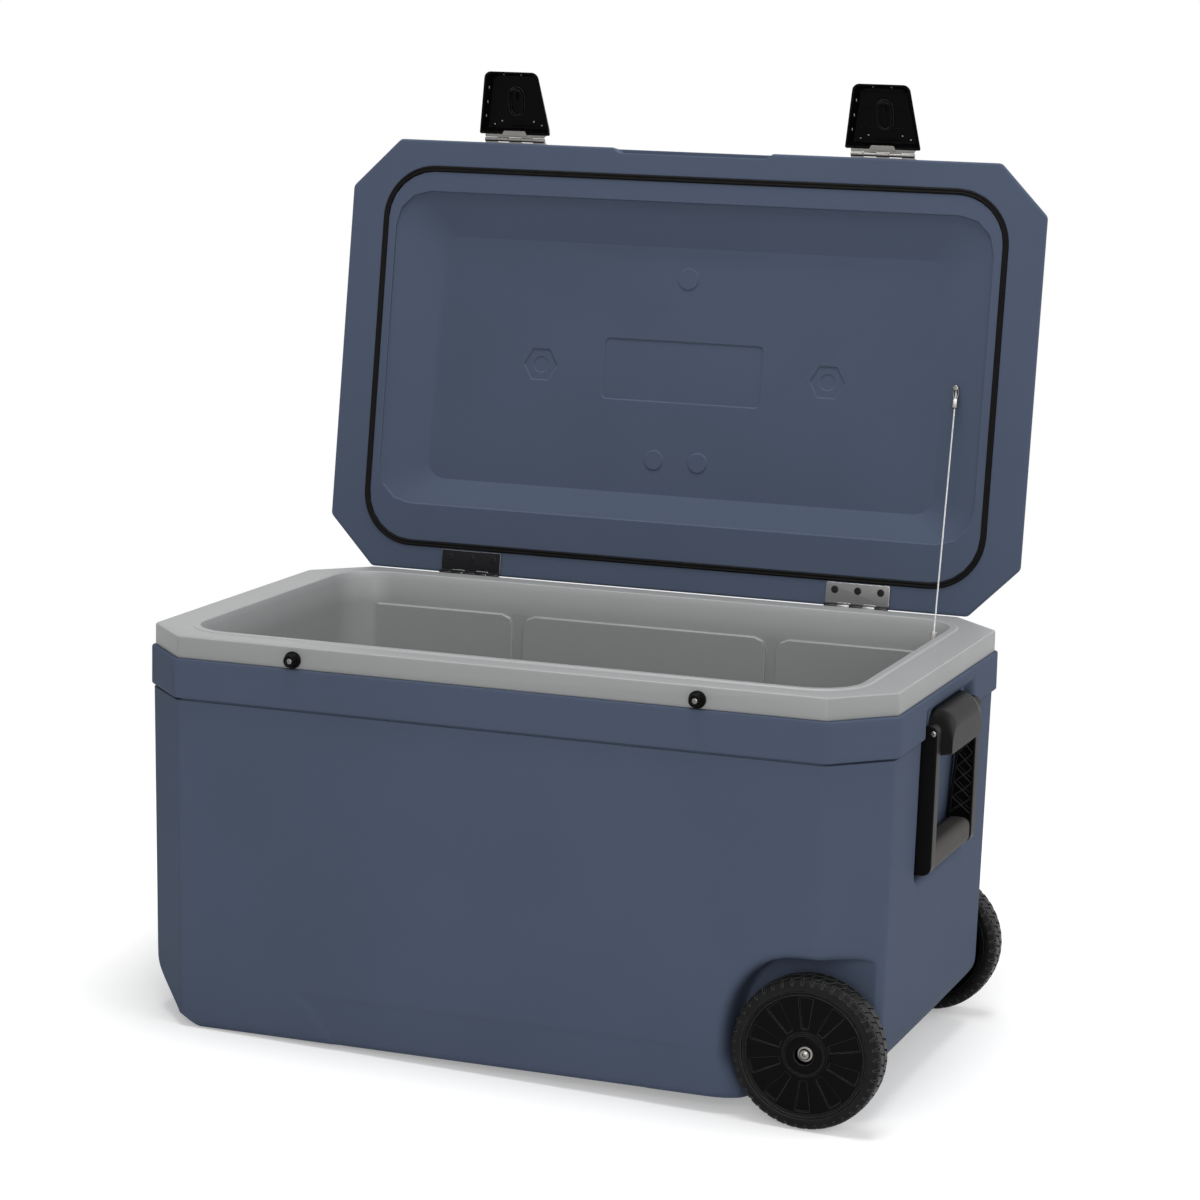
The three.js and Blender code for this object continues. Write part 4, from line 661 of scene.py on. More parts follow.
# The outer shell's visible skin: one grid wrapped round the body, pushed in for its wells and recesses
shell = {
    "left": 400.9,
    "right": 398.5,
    "leftTaper": 2.9,
    "rightTaper": 5.3,
    "halfDepth": 240.2,
    "depthTaper": 4.5,
    "chamfer": (54.7, 53.8),
    "leastChamfer": 0.05,
    "cornerRadius": 10,
    "cornerReach": 60,
    "cornerSteps": 5,
    "bottom": -413,
    "edgeRadius": 8,
    "bevelHeight": 56,
    "bevelLine": (1.009, 1.204),
    "bevelSharpness": 12,
    "leftBevel": 73,
    "rightBevel": 38,
    "wallTop": -67.2,
    "rim": {"halfLength": 400, "halfDepth": 241.7, "chamfer": (54.7, 56.8)},
    # heights and outsets: the collar's top edge, its face, its lower edge and the groove below it
    "collar": [(-22.9, -6), (-22.9, 1.4), (-23.2, 2.3), (-23.9, 2.8), (-24.9, 3)]
    + [(-z, 3) for z in range(28, 59, 3)]
    + [(-62.2, 3), (-63, 2.8), (-63.7, 2.3), (-64.2, 1.5), (-64.4, 0.4), (-64.5, -1.5)]
    + [(-64.6, -3.2), (-66.6, -3.2)],
    # places where the grid's step changes, each with its greatest step up to there; length of a chamfer,
    # its fine step and its coarse one
    "heightSteps": [(-80, 3), (-196, 5), (-214, 1.5), (-240, 4), (-404, 1.6), (-413, 1.1)],
    "frontStart": -346,
    "frontSteps": [(-216, 6), (-160, 2.5), (160, 8), (216, 2.5), (228, 4), (345, 1.5)],
    "endStart": -187,
    "endSteps": [(-99, 6), (-82, 1), (-73, 3), (-66, 1.5), (66, 6), (73, 1.5), (82, 3), (99, 1), (187, 6)],
    "chamferSteps": (77, 1.5, 6),
}
well = {
    "centre": (325, -360),
    "left": 86,
    "right": 92,
    "height": 108,
    "leftPower": 2.3,
    "rightPower": 5,
    "widening": 0.17,
    "lowStretch": 2.2,
    "stretchDepth": 53,
    "startX": 220,
    "floor": 190,
    "axleHole": 8,
    "outside": 1.05,
    "leastSlope": 0.004,
}
recess = {
    "notch": {"half": 93, "top": -33, "bottom": -72.5, "floor": 397.7, "radius": 5, "early": 3},
    "pocket": {
        "half": 87, "top": -44, "bottom": -208.5, "upper": 391, "lower": 380.5, "radius": 7, "early": 8.5,
    },
    "pad": {"half": 69.6, "bottom": -86, "blend": 3},
    "startX": 370,
    "halfWidth": 100,
}
lowInset = {
    "halfTop": 208, "slope": 0.8, "top": -363, "depth": 1.2, "blend": 7,
    "sideShare": 0.78, "reach": 220, "face": 230,
}
drainFlange = {"x": -390, "z": -331, "radius": 15}
hingeNotch = {"half": 40, "floor": 241.7, "bottom": -35.65, "blend": 1.5}

# A soft roll over an edge and a steep wall below it: distances past the edge, and shares of the full depth
wellRoll = [
    (0, 0), (2, 0.005), (4, 0.022), (6, 0.055), (8, 0.11), (9.3, 0.165), (10.3, 0.23), (11, 0.31),
    (11.7, 0.43), (12.4, 0.58), (13.1, 0.75), (13.8, 0.89), (14.6, 0.965), (15.6, 0.993), (16.6, 1),
]
pocketRoll = [
    (0, 0), (1.5, 0.014), (3, 0.055), (4.5, 0.13), (6, 0.25), (6.8, 0.38), (7.5, 0.6), (8.2, 0.85), (9, 1),
]


def rollShare(value, roll):
    if value <= roll[0][0]:
        return roll[0][1]
    for (x0, y0), (x1, y1) in zip(roll, roll[1:]):
        if value < x1:
            return y0 + (y1 - y0) * (value - x0) / (x1 - x0)
    return roll[-1][1]


def eased(value):
    value = min(max(value, 0), 1)
    return value * value * (3 - 2 * value)


def wellShare(x, z):
    cx, cz = well["centre"]

    def level(px, pz):
        up = max(pz - cz, 0) / well["height"]
        wide = well["widening"] * max(cz - pz, 0)
        side, power = ("left", well["leftPower"]) if px < cx else ("right", well["rightPower"])
        across = abs(px - cx) / (well[side] + wide)
        return (across ** power + up ** power) ** (1 / power)

    here = level(x, z)
    if here > well["outside"]:
        return 0
    slope = math.hypot(level(x + 0.5, z) - level(x - 0.5, z), level(x, z + 0.5) - level(x, z - 0.5))
    stretch = 1 + (well["lowStretch"] * eased((cz - z) / well["stretchDepth"]) if x < cx else 0)
    return rollShare((1 - here) / max(slope, well["leastSlope"]) / stretch, wellRoll)


# Distance inside a box with rounded corners, positive towards its middle
def insideBox(u, v, box):
    radius = box["radius"]
    a = abs(u) - (box["half"] - radius)
    b = abs(v - (box["bottom"] + box["top"]) / 2) - ((box["top"] - box["bottom"]) / 2 - radius)
    return radius - math.hypot(max(a, 0), max(b, 0)) - min(max(a, b), 0)


# The handle's notch in the collar, and its pocket below with a pad left standing behind the grip
def pushedEnd(end, y, z):
    notch, pocket, pad = recess["notch"], recess["pocket"], recess["pad"]
    end -= rollShare(insideBox(y, z, notch) + notch["early"], pocketRoll) * max(end - notch["floor"], 0)
    share = (pocket["top"] - z) / (pocket["top"] - pocket["bottom"])
    floor = pocket["upper"] + (pocket["lower"] - pocket["upper"]) * share
    raised = min(pad["half"] - abs(y), z - pad["bottom"])
    floor += eased(raised / pad["blend"] + 0.5) * (notch["floor"] - floor)
    return end - rollShare(insideBox(y, z, pocket) + pocket["early"], pocketRoll) * max(end - floor, 0)


def pushed(x, y, z):
    end, front = abs(x), abs(y)
    if x > well["startX"] and front > well["floor"]:
        front -= wellShare(x, z) * (front - well["floor"])
    elif front > lowInset["face"] and z < lowInset["top"] + lowInset["blend"] and end < lowInset["reach"]:
        down = lowInset["top"] - z
        near = min(down, (lowInset["halfTop"] - lowInset["slope"] * down - end) * lowInset["sideShare"])
        front -= lowInset["depth"] * eased(near / lowInset["blend"] + 0.5)
    if y > 0 and front > hingeNotch["floor"]:
        near = min(hingeNotch["half"] - abs(end - hinge["x"]), z - hingeNotch["bottom"])
        front -= eased(near / hingeNotch["blend"] + 0.5) * (front - hingeNotch["floor"])
    if end > recess["startX"] and front < recess["halfWidth"]:
        end = pushedEnd(end, y, z)
    return (end if x > 0 else -end, -front if y < 0 else front, z)


def octagon(left, right, halfDepth, chamfer, leftShare=1, rightShare=1):
    length, depth = chamfer
    corners = [
        (right, -halfDepth + depth * rightShare), (right, halfDepth - depth * rightShare),
        (right - length * rightShare, halfDepth), (left + length * leftShare, halfDepth),
        (left, halfDepth - depth * leftShare), (left, -halfDepth + depth * leftShare),
        (left + length * leftShare, -halfDepth), (right - length * rightShare, -halfDepth),
    ]
    shares = [rightShare] * 3 + [leftShare] * 4 + [rightShare]
    return corners, [min(shell["cornerRadius"], shell["cornerReach"] * share) for share in shares]


def wallOutline(z):
    height = z - shell["bottom"]
    down = 1 - min(height / (shell["wallTop"] - shell["bottom"]), 1)
    startShare, slope = shell["bevelLine"]
    slide = startShare - slope * height / shell["bevelHeight"]
    sharpness = shell["bevelSharpness"]
    bevel = min(math.log(1 + math.exp(sharpness * slide)) / sharpness, 1)
    edge = max(shell["edgeRadius"] - height, 0)
    rounding = shell["edgeRadius"] - math.sqrt(shell["edgeRadius"] ** 2 - edge ** 2)
    leftCut, rightCut = shell["leftBevel"] * bevel, shell["rightBevel"] * bevel
    return octagon(
        -shell["left"] + shell["leftTaper"] * down + leftCut,
        shell["right"] - shell["rightTaper"] * down - rightCut,
        shell["halfDepth"] - shell["depthTaper"] * down - rounding,
        shell["chamfer"],
        *[max(1 - cut / shell["chamfer"][0], shell["leastChamfer"]) for cut in (leftCut, rightCut)],
    )


def collarOutline(outset):
    rim = shell["rim"]
    half = rim["halfLength"] + outset
    return octagon(-half, half, rim["halfDepth"] + outset, rim["chamfer"])


# Shares along one line, from a start and stretches that are given as an end and a greatest step
def sharesOf(start, stretches):
    places = [start]
    for end, step in stretches:
        first = places[-1]
        count = math.ceil(abs(end - first) / step)
        places += [first + (end - first) * (i + 1) / count for i in range(count)]
    low, high = places[0], places[-1]
    return [(place - low) / (high - low) for place in places[1:-1]]


frontShares = sharesOf(shell["frontStart"], shell["frontSteps"])
endShares = sharesOf(shell["endStart"], shell["endSteps"])
chamferLength, *chamferSteps = shell["chamferSteps"]
fineShares, coarseShares = [sharesOf(0, [(chamferLength, step)]) for step in chamferSteps]
backShares = [1 - share for share in reversed(frontShares)]
wallShares = [endShares, fineShares, backShares, coarseShares]
wallShares += [endShares, coarseShares, frontShares, fineShares]


# One row of the grid: the arc at each corner and then the wall that follows it
def wrapRow(outline, z):
    width = shell["cornerSteps"] + 1
    arcs = rounded(*outline, shell["cornerSteps"])
    row = []
    for index, shares in enumerate(wallShares):
        row += arcs[index * width:(index + 1) * width]
        (x0, y0), (x1, y1) = row[-1], arcs[((index + 1) % 8) * width]
        row += [(x0 + (x1 - x0) * share, y0 + (y1 - y0) * share) for share in shares]
    return [pushed(x, y, z) for x, y in row]


def makeShell():
    rows = [wrapRow(collarOutline(outset), z) for z, outset in shell["collar"]]
    top, bottom = shell["wallTop"], shell["bottom"]
    heights = [top + (bottom - top) * share for share in [0, *sharesOf(top, shell["heightSteps"]), 1]]
    rows += [wrapRow(wallOutline(z), z) for z in heights]
    points, faces = grid(list(reversed(rows)))

    def isOpen(face):
        x, y, z = sum((Vector(points[i]) for i in face), Vector()) / 4
        atAxle = math.hypot(x - wheelPlace["x"], z - wheelPlace["z"]) < well["axleHole"]
        atDrain = math.hypot(y, z - drainFlange["z"]) < drainFlange["radius"] and x < drainFlange["x"]
        return atAxle or atDrain

    kept = [face for face in faces if not isOpen(face)] + [tuple(reversed(range(len(rows[0]))))]
    makePiece("bodySkin", "body", "blue_plastic", onBody, (points, kept), ["outer_shell"], 50)


makeShell()
print("shell wrapped")


# Wheels, in the frame of their own axle, with the outer face towards -y
tyre = {
    "crown": 76.2,
    "blocks": 44,
    "groove": 1.9,
    "grooveEdge": 0.35,
    "grooveDepth": 2.2,
    "lineShare": 0.75,
    "shoulderShare": 0.45,
    "shoulderFrom": 71.5,
    "slant": 0.35,
    "slantReach": 12,
    # half widths and radii, from the foot of the side wall to the middle of the tread
    "section": [
        ("wall", [(16.2, 63.8), (18, 64.3), (18.5, 65.6), (18.5, 68.5), (18.35, 70.2)]),
        ("shoulder", [(18.1, 71), (17.8, 71.7), (17, 73), (15.8, 74.2), (14.2, 75), (12.4, 75.5)]),
        ("line", [(12.1, 75.4), (11.8, 75.5), (11.3, 75.5), (11, 75.5)]),
        ("middle", [(10.7, 75.65), (8, 75.9), (4.5, 76.1), (1.2, 76.2)]),
        ("line", [(0.9, 76.1), (0.6, 76.2)]),
    ],
}


def makeTyre(name, body, matrix, replaced):
    crown, full = tyre["crown"], tyre["grooveDepth"]
    pitch = 2 * math.pi / tyre["blocks"]
    groove, edge = tyre["groove"] / 2 / crown, tyre["grooveEdge"] / crown
    cuts = [-groove - edge, -groove, -groove + edge, groove - edge, groove, groove + edge, pitch * 0.25]
    columns = sorted({round(place % pitch, 7) for cut in cuts for place in (cut, cut + pitch / 2)})
    angles = [i * pitch + column for i in range(tyre["blocks"]) for column in columns]

    def depthAt(angle, zone, y, radius):
        if zone == "wall":
            return 0
        if zone == "line":
            return full * tyre["lineShare"]
        # the blocks of the shoulders and of the middle, left and right, are half a pitch apart
        offset = 0 if (zone == "shoulder") == (y < 0) else pitch / 2
        across = abs((angle + offset + pitch / 2) % pitch - pitch / 2)
        if across >= groove + edge * 0.5:
            return 0
        shallow = tyre["shoulderShare"] if zone == "shoulder" and radius < tyre["shoulderFrom"] else 1
        return full * shallow * (1 if across < groove - edge * 0.5 else 0.5)

    half = [(-y, radius, zone) for zone, places in tyre["section"] for y, radius in places]
    rows = []
    for y, radius, zone in half + [(-y, radius, zone) for y, radius, zone in reversed(half)]:
        shear = tyre["slant"] * min(abs(y), tyre["slantReach"]) / crown * (1 if y > 0 else -1)
        reaches = [(radius - depthAt(angle, zone, y, radius), angle + shear) for angle in angles]
        rows.append([(reach * math.sin(turned), y, reach * math.cos(turned)) for reach, turned in reaches])
    makePiece(name, body, "tyre_rubber", matrix, grid(rows, closedRows=True), replaced, 28)


# The disc's face is at a height of 0; radii and heights run from its bore over the face to the back
disc = {
    "face": -16.5,
    "pockets": 10,
    "pocketInner": 26,
    "pocketOuter": 57,
    "pocketHalf": 7.5,
    "pocketDepth": 1.6,
    "sideEdge": 0.45,
    "endEdge": 0.4,
    "plainAngles": (4, 12),
    "plainRadii": (25.3, 27, 32, 40, 48, 56, 58.6),
    "hub": [
        (9.2, 9.5), (9.2, 2.4), (9.6, -1.4), (10.2, -1.9), (17.6, -1.9), (18.3, -1.5), (18.9, -0.9),
        (19.6, -0.9), (20.1, -1.7), (20.6, -2.1), (21.4, -2.1), (22, -1.6), (22.5, -0.4), (23.1, 0),
    ],
    "rim": [
        (59.3, 0.1), (59.7, 0.7), (60.3, 0.8), (60.8, 0.3), (61.2, -0.1), (62.2, -0.2), (62.7, -0.9),
        (63.2, -1.1), (63.5, -0.6), (63.5, 3), (63.5, 35),
    ],
    "back": [(59.5, 35), (59.5, 4), (24, 4), (21, 6), (21, 35), (9.2, 35)],
}


def makeDisc(name, body, matrix, replaced):
    pocketHalf, edge, endEdge = disc["pocketHalf"], disc["sideEdge"], disc["endEdge"]
    inner, outer = disc["pocketInner"], disc["pocketOuter"]
    pitch = 360 / disc["pockets"]
    walls = [pocketHalf + edge * share for share in (-1, -0.5, 0, 0.5, 1)]
    half = sorted([*walls, *disc["plainAngles"]])
    local = [-pitch / 2, *[-angle for angle in reversed(half)], 0, *half]
    angles = [i * pitch + a for i in range(disc["pockets"]) for a in local]
    ends = [end + share * endEdge / 2 for end in (inner, outer) for share in (-2, -1, 0, 1, 2)]
    flat = sorted([*ends, *disc["plainRadii"]])

    def sunk(radius, angle):
        across = abs((angle + pitch / 2) % pitch - pitch / 2)
        radial = eased((radius - inner) / (2 * endEdge) + 0.5) * eased((outer - radius) / (2 * endEdge) + 0.5)
        return disc["pocketDepth"] * radial * eased((pocketHalf - across) / (2 * edge) + 0.5)

    rows = []
    for radius, height in disc["hub"] + [(radius, 0) for radius in flat] + disc["rim"] + disc["back"]:
        y = disc["face"] + height
        rows.append([
            (radius * math.sin(math.radians(a)), y + sunk(radius, a), radius * math.cos(math.radians(a)))
            for a in angles
        ])
    makePiece(name, body, "black_plastic", matrix, grid(rows, closedRows=True), replaced, 30, "glossBlack")


# A washer and a domed cap with a pit in its middle
axleCap = [
    (0.05, -15.6), (1.6, -15.6), (1.75, -18), (2.1, -18.35), (2.6, -18.1), (3.6, -17.7), (4.6, -17.2),
    (5.3, -16.4), (5.6, -15.5), (5.7, -14.4), (5.9, -14.2), (7.5, -14.2), (7.9, -14), (8, -13.6), (8, -12.9),
    (7.4, -12.7), (5, -12.7), (5, -11.6), (0.05, -11.6),
]

for side, way in (("front", -1), ("back", 1)):
    turn = spin(180 if way > 0 else 0, "Z")
    hubPlace = onBody @ shift(wheelPlace["x"], way * wheelPlace["y"], wheelPlace["z"]) @ turn
    body = f"wheel_{side}"
    makeTyre(f"tyreTread_{side}", body, hubPlace, [f"tyre_{side}"])
    makeDisc(f"wheelDisc_{side}", body, hubPlace, [f"wheel_hub_{side}"])
    makePiece(f"axleCap_{side}", body, "steel", hubPlace, lathe(axleCap, 48), [f"axle_nut_{side}"], 40)
print("wheels made")


# Handles, in the body's frame at the right end; the left one is the same, turned half round
handle = {
    "pivotX": 408.2,
    "pivotZ": -59.3,
    "inside": 69.9,
    "outside": 85.2,
    "low": {"inner": 382.6, "outer": 411, "z": -204.3},
    "high": {"inner": 396.4, "outer": 412.6, "z": -51.6},
    "corners": [7, 9, 8, 8],
    "ear": (404.5, -59.7, 7.6),
    "web": 5.5,
    "edge": 1.1,
    "wall": 3,
    "ribs": 6,
    "ribSpan": (-174, -78),
    "ribThickness": 1.7,
    "ribSection": [(0.55, 71.2), (0, 71.8), (0, 80)],
    "grip": {
        "x": 397, "z": -190.6, "halfDepth": 13, "halfHeight": 13.6, "radius": 8.5, "half": 69,
        "mouth": [(5.1, 0.8), (4.6, 0.2), (4, 0)], "endRadius": 2.2,
        "core": {"halfDepth": 8, "halfHeight": 9, "radius": 5.5, "past": 4},
    },
    "hood": {
        "back": 397, "front": 421, "top": -40, "drop": 20, "bottom": -86, "lift": 2, "half": 69, "taper": 10,
        "softEnd": 1.6, "corner": 21, "moreCorner": -2.5, "lowCorner": 3, "steps": 14,
    },
    "screw": {"head": (3, 0.7, 0.6, 0.7, 0.5), "shank": (2, 13.9, 0.5), "seat": 0.3},
}


def innerEdge(z):
    low, high = handle["low"], handle["high"]
    share = (z - low["z"]) / (high["z"] - low["z"])
    return low["inner"] + share * (high["inner"] - low["inner"]) + handle["wall"]


# The lattice inside each arm: crossed ribs from its inner wall to its outer one
def crossRibs():
    low, high = handle["ribSpan"]
    pitch = (high - low) / handle["ribs"]
    outer = handle["low"]["outer"] - handle["wall"] + 1
    ribs = []
    for index in range(handle["ribs"]):
        z0, z1 = low + index * pitch, low + (index + 1) * pitch
        for start, end in (((innerEdge(z0) - 1, z0), (outer, z1)), ((outer, z0), (innerEdge(z1) - 1, z1))):
            a, b = Vector(start), Vector(end)
            way = (b - a).normalized()
            side = Vector((-way.y, way.x)) * handle["ribThickness"] / 2
            outline = [tuple(p) for p in (a + side, a - side, b - side, b + side)]
            ribs.append(stack(outline, handle["ribSection"], "y"))
    return ribs


def gripOutline(shape, steps=6):
    x, z = handle["grip"]["x"], handle["grip"]["z"]
    halfDepth, halfHeight = shape["halfDepth"], shape["halfHeight"]
    return boxOutline(x - halfDepth, x + halfDepth, z - halfHeight, z + halfHeight, shape["radius"], steps)


# Two arms, each a web with a wall round it, and the bar between them that the soft grip covers
def makeBow(side, matrix):
    low, high = handle["low"], handle["high"]
    corners = [(low["inner"], low["z"]), (low["outer"], low["z"])]
    corners += [(high["outer"], high["z"]), (high["inner"], high["z"])]
    outline = rounded(corners, handle["corners"], 8)
    inside, outside, wall = handle["inside"], handle["outside"], handle["wall"]
    webFace = outside - handle["web"]
    edge = [(inward, outside - rise) for inward, rise in reversed(quarter(handle["edge"]))]
    web = stack(outline, [(0, webFace)] + edge, "y")
    section = [(0, webFace - 0.2), (0, inside + 0.9), (0.25, inside + 0.3), (0.8, inside)]
    section += [(wall - inward, y) for inward, y in reversed(section)]
    earX, earZ, earRadius = handle["ear"]
    ear = slab(circle(earRadius, 40, earX, earZ), inside, webFace, "y", 0.8, 0)
    arm = joined([web, band(outline, section, "y"), ear] + crossRibs())
    core = handle["grip"]["core"]
    reach = inside + core["past"]
    bar = slab(gripOutline(core), -reach, reach, "y", 0.5, 0.5)
    part = joined([arm, moved(arm, Matrix.Scale(-1, 4, (0, 1, 0))), bar])
    replaced = [f"handle_bail_{side}"]
    smoothed(makePiece(f"handleBow_{side}", f"handle_{side}", "black_plastic", matrix, part, replaced, 40))


def makeGrip(side, matrix):
    grip = handle["grip"]
    half, end = grip["half"], grip["mouth"] + quarter(grip["endRadius"])
    rings = [(inward, -half + rise) for inward, rise in end]
    rings += [(inward, half - rise) for inward, rise in reversed(end)]
    part = stack(gripOutline(grip, 8), rings, "y")
    replaced = [f"handle_grip_{side}"]
    smoothed(makePiece(f"softGrip_{side}", f"handle_{side}", "grip_rubber", matrix, part, replaced, 50))


# The hood over each pivot pair: broad on the wall, and rounded over towards its lower, shorter front
def makeHood(side, matrix):
    hood = handle["hood"]
    low = hood["lowCorner"]
    rows = []
    for step in range(hood["steps"] + 1):
        turn = math.pi / 2 * step / hood["steps"]
        out, over = math.sin(turn), 1 - math.cos(turn)
        half = hood["half"] - hood["taper"] * out - hood["softEnd"] * over
        top, bottom = hood["top"] - hood["drop"] * over, hood["bottom"] + hood["lift"] * over
        high = hood["corner"] + hood["moreCorner"] * over
        corners = [(-half, bottom), (half, bottom), (half, top), (-half, top)]
        outline = rounded(corners, [low, low, high, high], 9)
        x = hood["back"] + (hood["front"] - hood["back"]) * out
        rows.append([(x, y, z) for y, z in outline])
    replaced = [f"handle_bracket_{side}"]
    smoothed(makePiece(f"handleHood_{side}", "body", "black_plastic", matrix, capped(rows), replaced, 50))


def makePivotScrew(side, end, matrix):
    way = (1 if end == "back" else -1) * sides[side]
    made = handle["screw"]
    seat = Matrix.Translation((handle["pivotX"], way * (handle["outside"] + made["seat"]), handle["pivotZ"]))
    part = moved(screw(made["head"], made["shank"]), seat @ spin(way * 90, "X"))
    node = f"handle_screw_{side}_{end}"
    makePiece(f"pivotScrew_{side}_{end}", nodes[node]["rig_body"], "steel", matrix, part, [node])


for side, sign in sides.items():
    handlePlace = onBody if sign > 0 else onBody @ spin(180, "Z")
    makeBow(side, handlePlace)
    makeGrip(side, handlePlace)
    makeHood(side, handlePlace)
    makePivotScrew(side, "front", handlePlace)
    makePivotScrew(side, "back", handlePlace)
print("handles made")


# Latch covers, in the frame of their own hinge axis: -y runs along the cover, z from its mouth to its back
latch = {
    "place": (215.5, -248.5, 13),
    "lean": 20,
    "base": -6,
    "length": 72.1,
    "baseHalf": 43.1,
    "tipHalf": 31.9,
    "baseDraft": 3,
    "tipDraft": 5,
    "sideDraft": 5.5,
    "corners": [2, 2, 8.5, 8.5],
    "depth": 14,
    "wall": 2.4,
    "floor": 11.6,
    "keyhole": {"y": -41.5, "halfWidth": 9, "halfLength": 16.5, "rise": 4.5, "wall": 1.9},
    "splitRibs": (27.5, 50),
    "wholeRibs": (67,),
    "ribHalf": 26.9,
    "ribClear": 10.5,
    "ribSide": "right",
    "leafHalf": 36,
    "knuckles": 5,
    "tab": [(15.5, -4.8), (-15.5, -4.8), (-12.8, -10.6), (12.8, -10.6)],
    "tabSpan": (-1.3, -0.1),
    "root": {"gap": 0.2, "y": (-4.6, -2.8), "z": (0, 1.2)},
    "pin": [(0.05, -0.75), (0.6, -0.7), (1, -0.45), (1.15, 0), (1.15, 0.6), (0.05, 0.6)],
    # three on the side wall, two on the end wall and four on the floor
    "pins": {
        "side": [(-31.8, -58.4, 6), (-34.3, -41.9, 6), (-36.8, -25.7, 6)],
        "end": [(-10.9, -71.6, 6), (10, -71.4, 6)],
        "floor": [(-28.2, -14.7, 11.6), (-19, -18.5, 11.6), (19.5, -18.6, 11.6), (28.8, -14.6, 11.6)],
    },
}


# Base, tip and their half widths, a distance inside the cover's wall and at a share of its depth
def coverReach(distance, share):
    narrowing = distance + latch["sideDraft"] * share
    base = latch["base"] - distance - latch["baseDraft"] * share
    tip = latch["base"] - latch["length"] + distance + latch["tipDraft"] * share
    return base, tip, latch["baseHalf"] - narrowing, latch["tipHalf"] - narrowing


def coverOutline(distance, share):
    base, tip, halfBase, halfTip = coverReach(distance, share)
    corners = [(halfBase, base), (-halfBase, base), (-halfTip, tip), (halfTip, tip)]
    return rounded(corners, latch["corners"], 8)


# The ring round the keyhole, with the slot and the shelf in it
def keyParts():
    key, floor = latch["keyhole"], latch["floor"]
    halfWidth, halfLength, thick = key["halfWidth"], key["halfLength"], key["wall"]
    low, high, top = key["y"] - halfLength, key["y"] + halfLength, floor - key["rise"]
    ring = [(0, floor - 0.5), (0, top + 0.6), (0.2, top + 0.15), (0.6, top)]
    section = [(-0.5, floor + 0.2)] + ring + [(thick - inward, z) for inward, z in reversed(ring[1:])]
    section.append((thick, floor + 0.2))
    slot = boxOutline(-1, 1, low + 1, key["y"] - 1, 0.8, 3)
    shelf = boxOutline(-5, 5, low + 1.6, low + 4, 0.6, 3)
    return [
        band(boxOutline(-halfWidth, halfWidth, low, high, halfWidth - 0.3, 8), section, "z"),
        slab(slot, top + 0.8, floor + 0.3, "z", 0.3, 0),
        slab(shelf, top + 0.2, floor + 0.3, "z", 0.3, 0),
    ]


# Ribs across the floor, those beside the keyhole in two parts
def floorRibs():
    floor, half, clear = latch["floor"], latch["ribHalf"], latch["ribClear"]
    spans = [(y, *ends) for y in latch["splitRibs"] for ends in ((-half, -clear), (clear, half))]
    ribs = []
    for y, x0, x1 in spans + [(y, -half, half) for y in latch["wholeRibs"]]:
        rib = boxOutline(x0, x1, -y, -y + 1.5, 0.6, 3)
        ribs.append(slab(rib, floor - 1.6, floor + 0.3, "z", 0.5, 0))
    return ribs


def makeCover(side, matrix):
    depth, wall, floor = latch["depth"], latch["wall"], latch["floor"]
    rings = [(2.4, depth), (1.5, depth - 0.05), (0.7, depth - 0.35), (0.2, depth - 0.9), (0, depth - 1.8)]
    rings += [(0, 7), (0, 0.5), (0.15, 0.15), (0.5, 0), (wall - 0.5, 0), (wall - 0.15, 0.15), (wall, 0.5)]
    rings += [(wall, 6), (wall, floor - 1.4), (wall + 0.3, floor - 0.6), (wall + 0.8, floor - 0.15)]
    rings.append((wall + 1.5, floor))
    tray = capped([[(x, y, z) for x, y in coverOutline(distance, z / depth)] for distance, z in rings])
    part = joined([tray] + keyParts() + (floorRibs() if side == latch["ribSide"] else []))
    name, replaced = f"latchTray_{side}", [f"latch_cover_{side}"]
    smoothed(makePiece(name, f"latch_{side}", "black_plastic", matrix, part, replaced, 40, "glossBlack"))


def makeCoverPins(side, matrix):
    lays = {
        "side": spin(81, "Z") @ Matrix.Diagonal((2, 1, 0.8, 1)),
        "end": spin(180, "Z"),
        "floor": spin(90, "X"),
    }
    parts = []
    for wall, places in latch["pins"].items():
        for x, y, z in places:
            base, tip, halfBase, halfTip = coverReach(latch["wall"], z / latch["depth"])
            if wall == "side":
                x = -(halfTip + (halfBase - halfTip) * (y - tip) / (base - tip))
            if wall == "end":
                y = tip
            parts.append(moved(lathe(latch["pin"], 16), Matrix.Translation((x, y, z)) @ lays[wall]))
    makePiece(f"latchPins_{side}", f"latch_{side}", "steel", matrix, joined(parts))


# What the moving leaf shows: a tapered tab bent into the cover's mouth, and short roots between its knuckles
def makeTab(side, matrix):
    tab = rounded(latch["tab"], [0.8, 0.8, 1.8, 1.8], 4)
    parts = [slab(tab, *latch["tabSpan"], "z", 0.3, 0.1)]
    pitch, root = 2 * latch["leafHalf"] / latch["knuckles"], latch["root"]
    for index in range(0, latch["knuckles"], 2):
        start = index * pitch - latch["leafHalf"]
        outline = boxOutline(start + root["gap"], start + pitch - root["gap"], *root["y"], 0.3)
        parts.append(slab(outline, *root["z"], "z", 0.2, 0.1))
    makePiece(f"latchTab_{side}", f"latch_{side}", "steel", matrix, joined(parts), (), 40)


for side, sign in sides.items():
    x, y, z = latch["place"]
    onLatch = onLid @ shift(sign * x, y, z) @ spin(latch["lean"], "X")
    makeCover(side, onLatch)
    makeCoverPins(side, onLatch)
    makeTab(side, onLatch)
print("latches made")


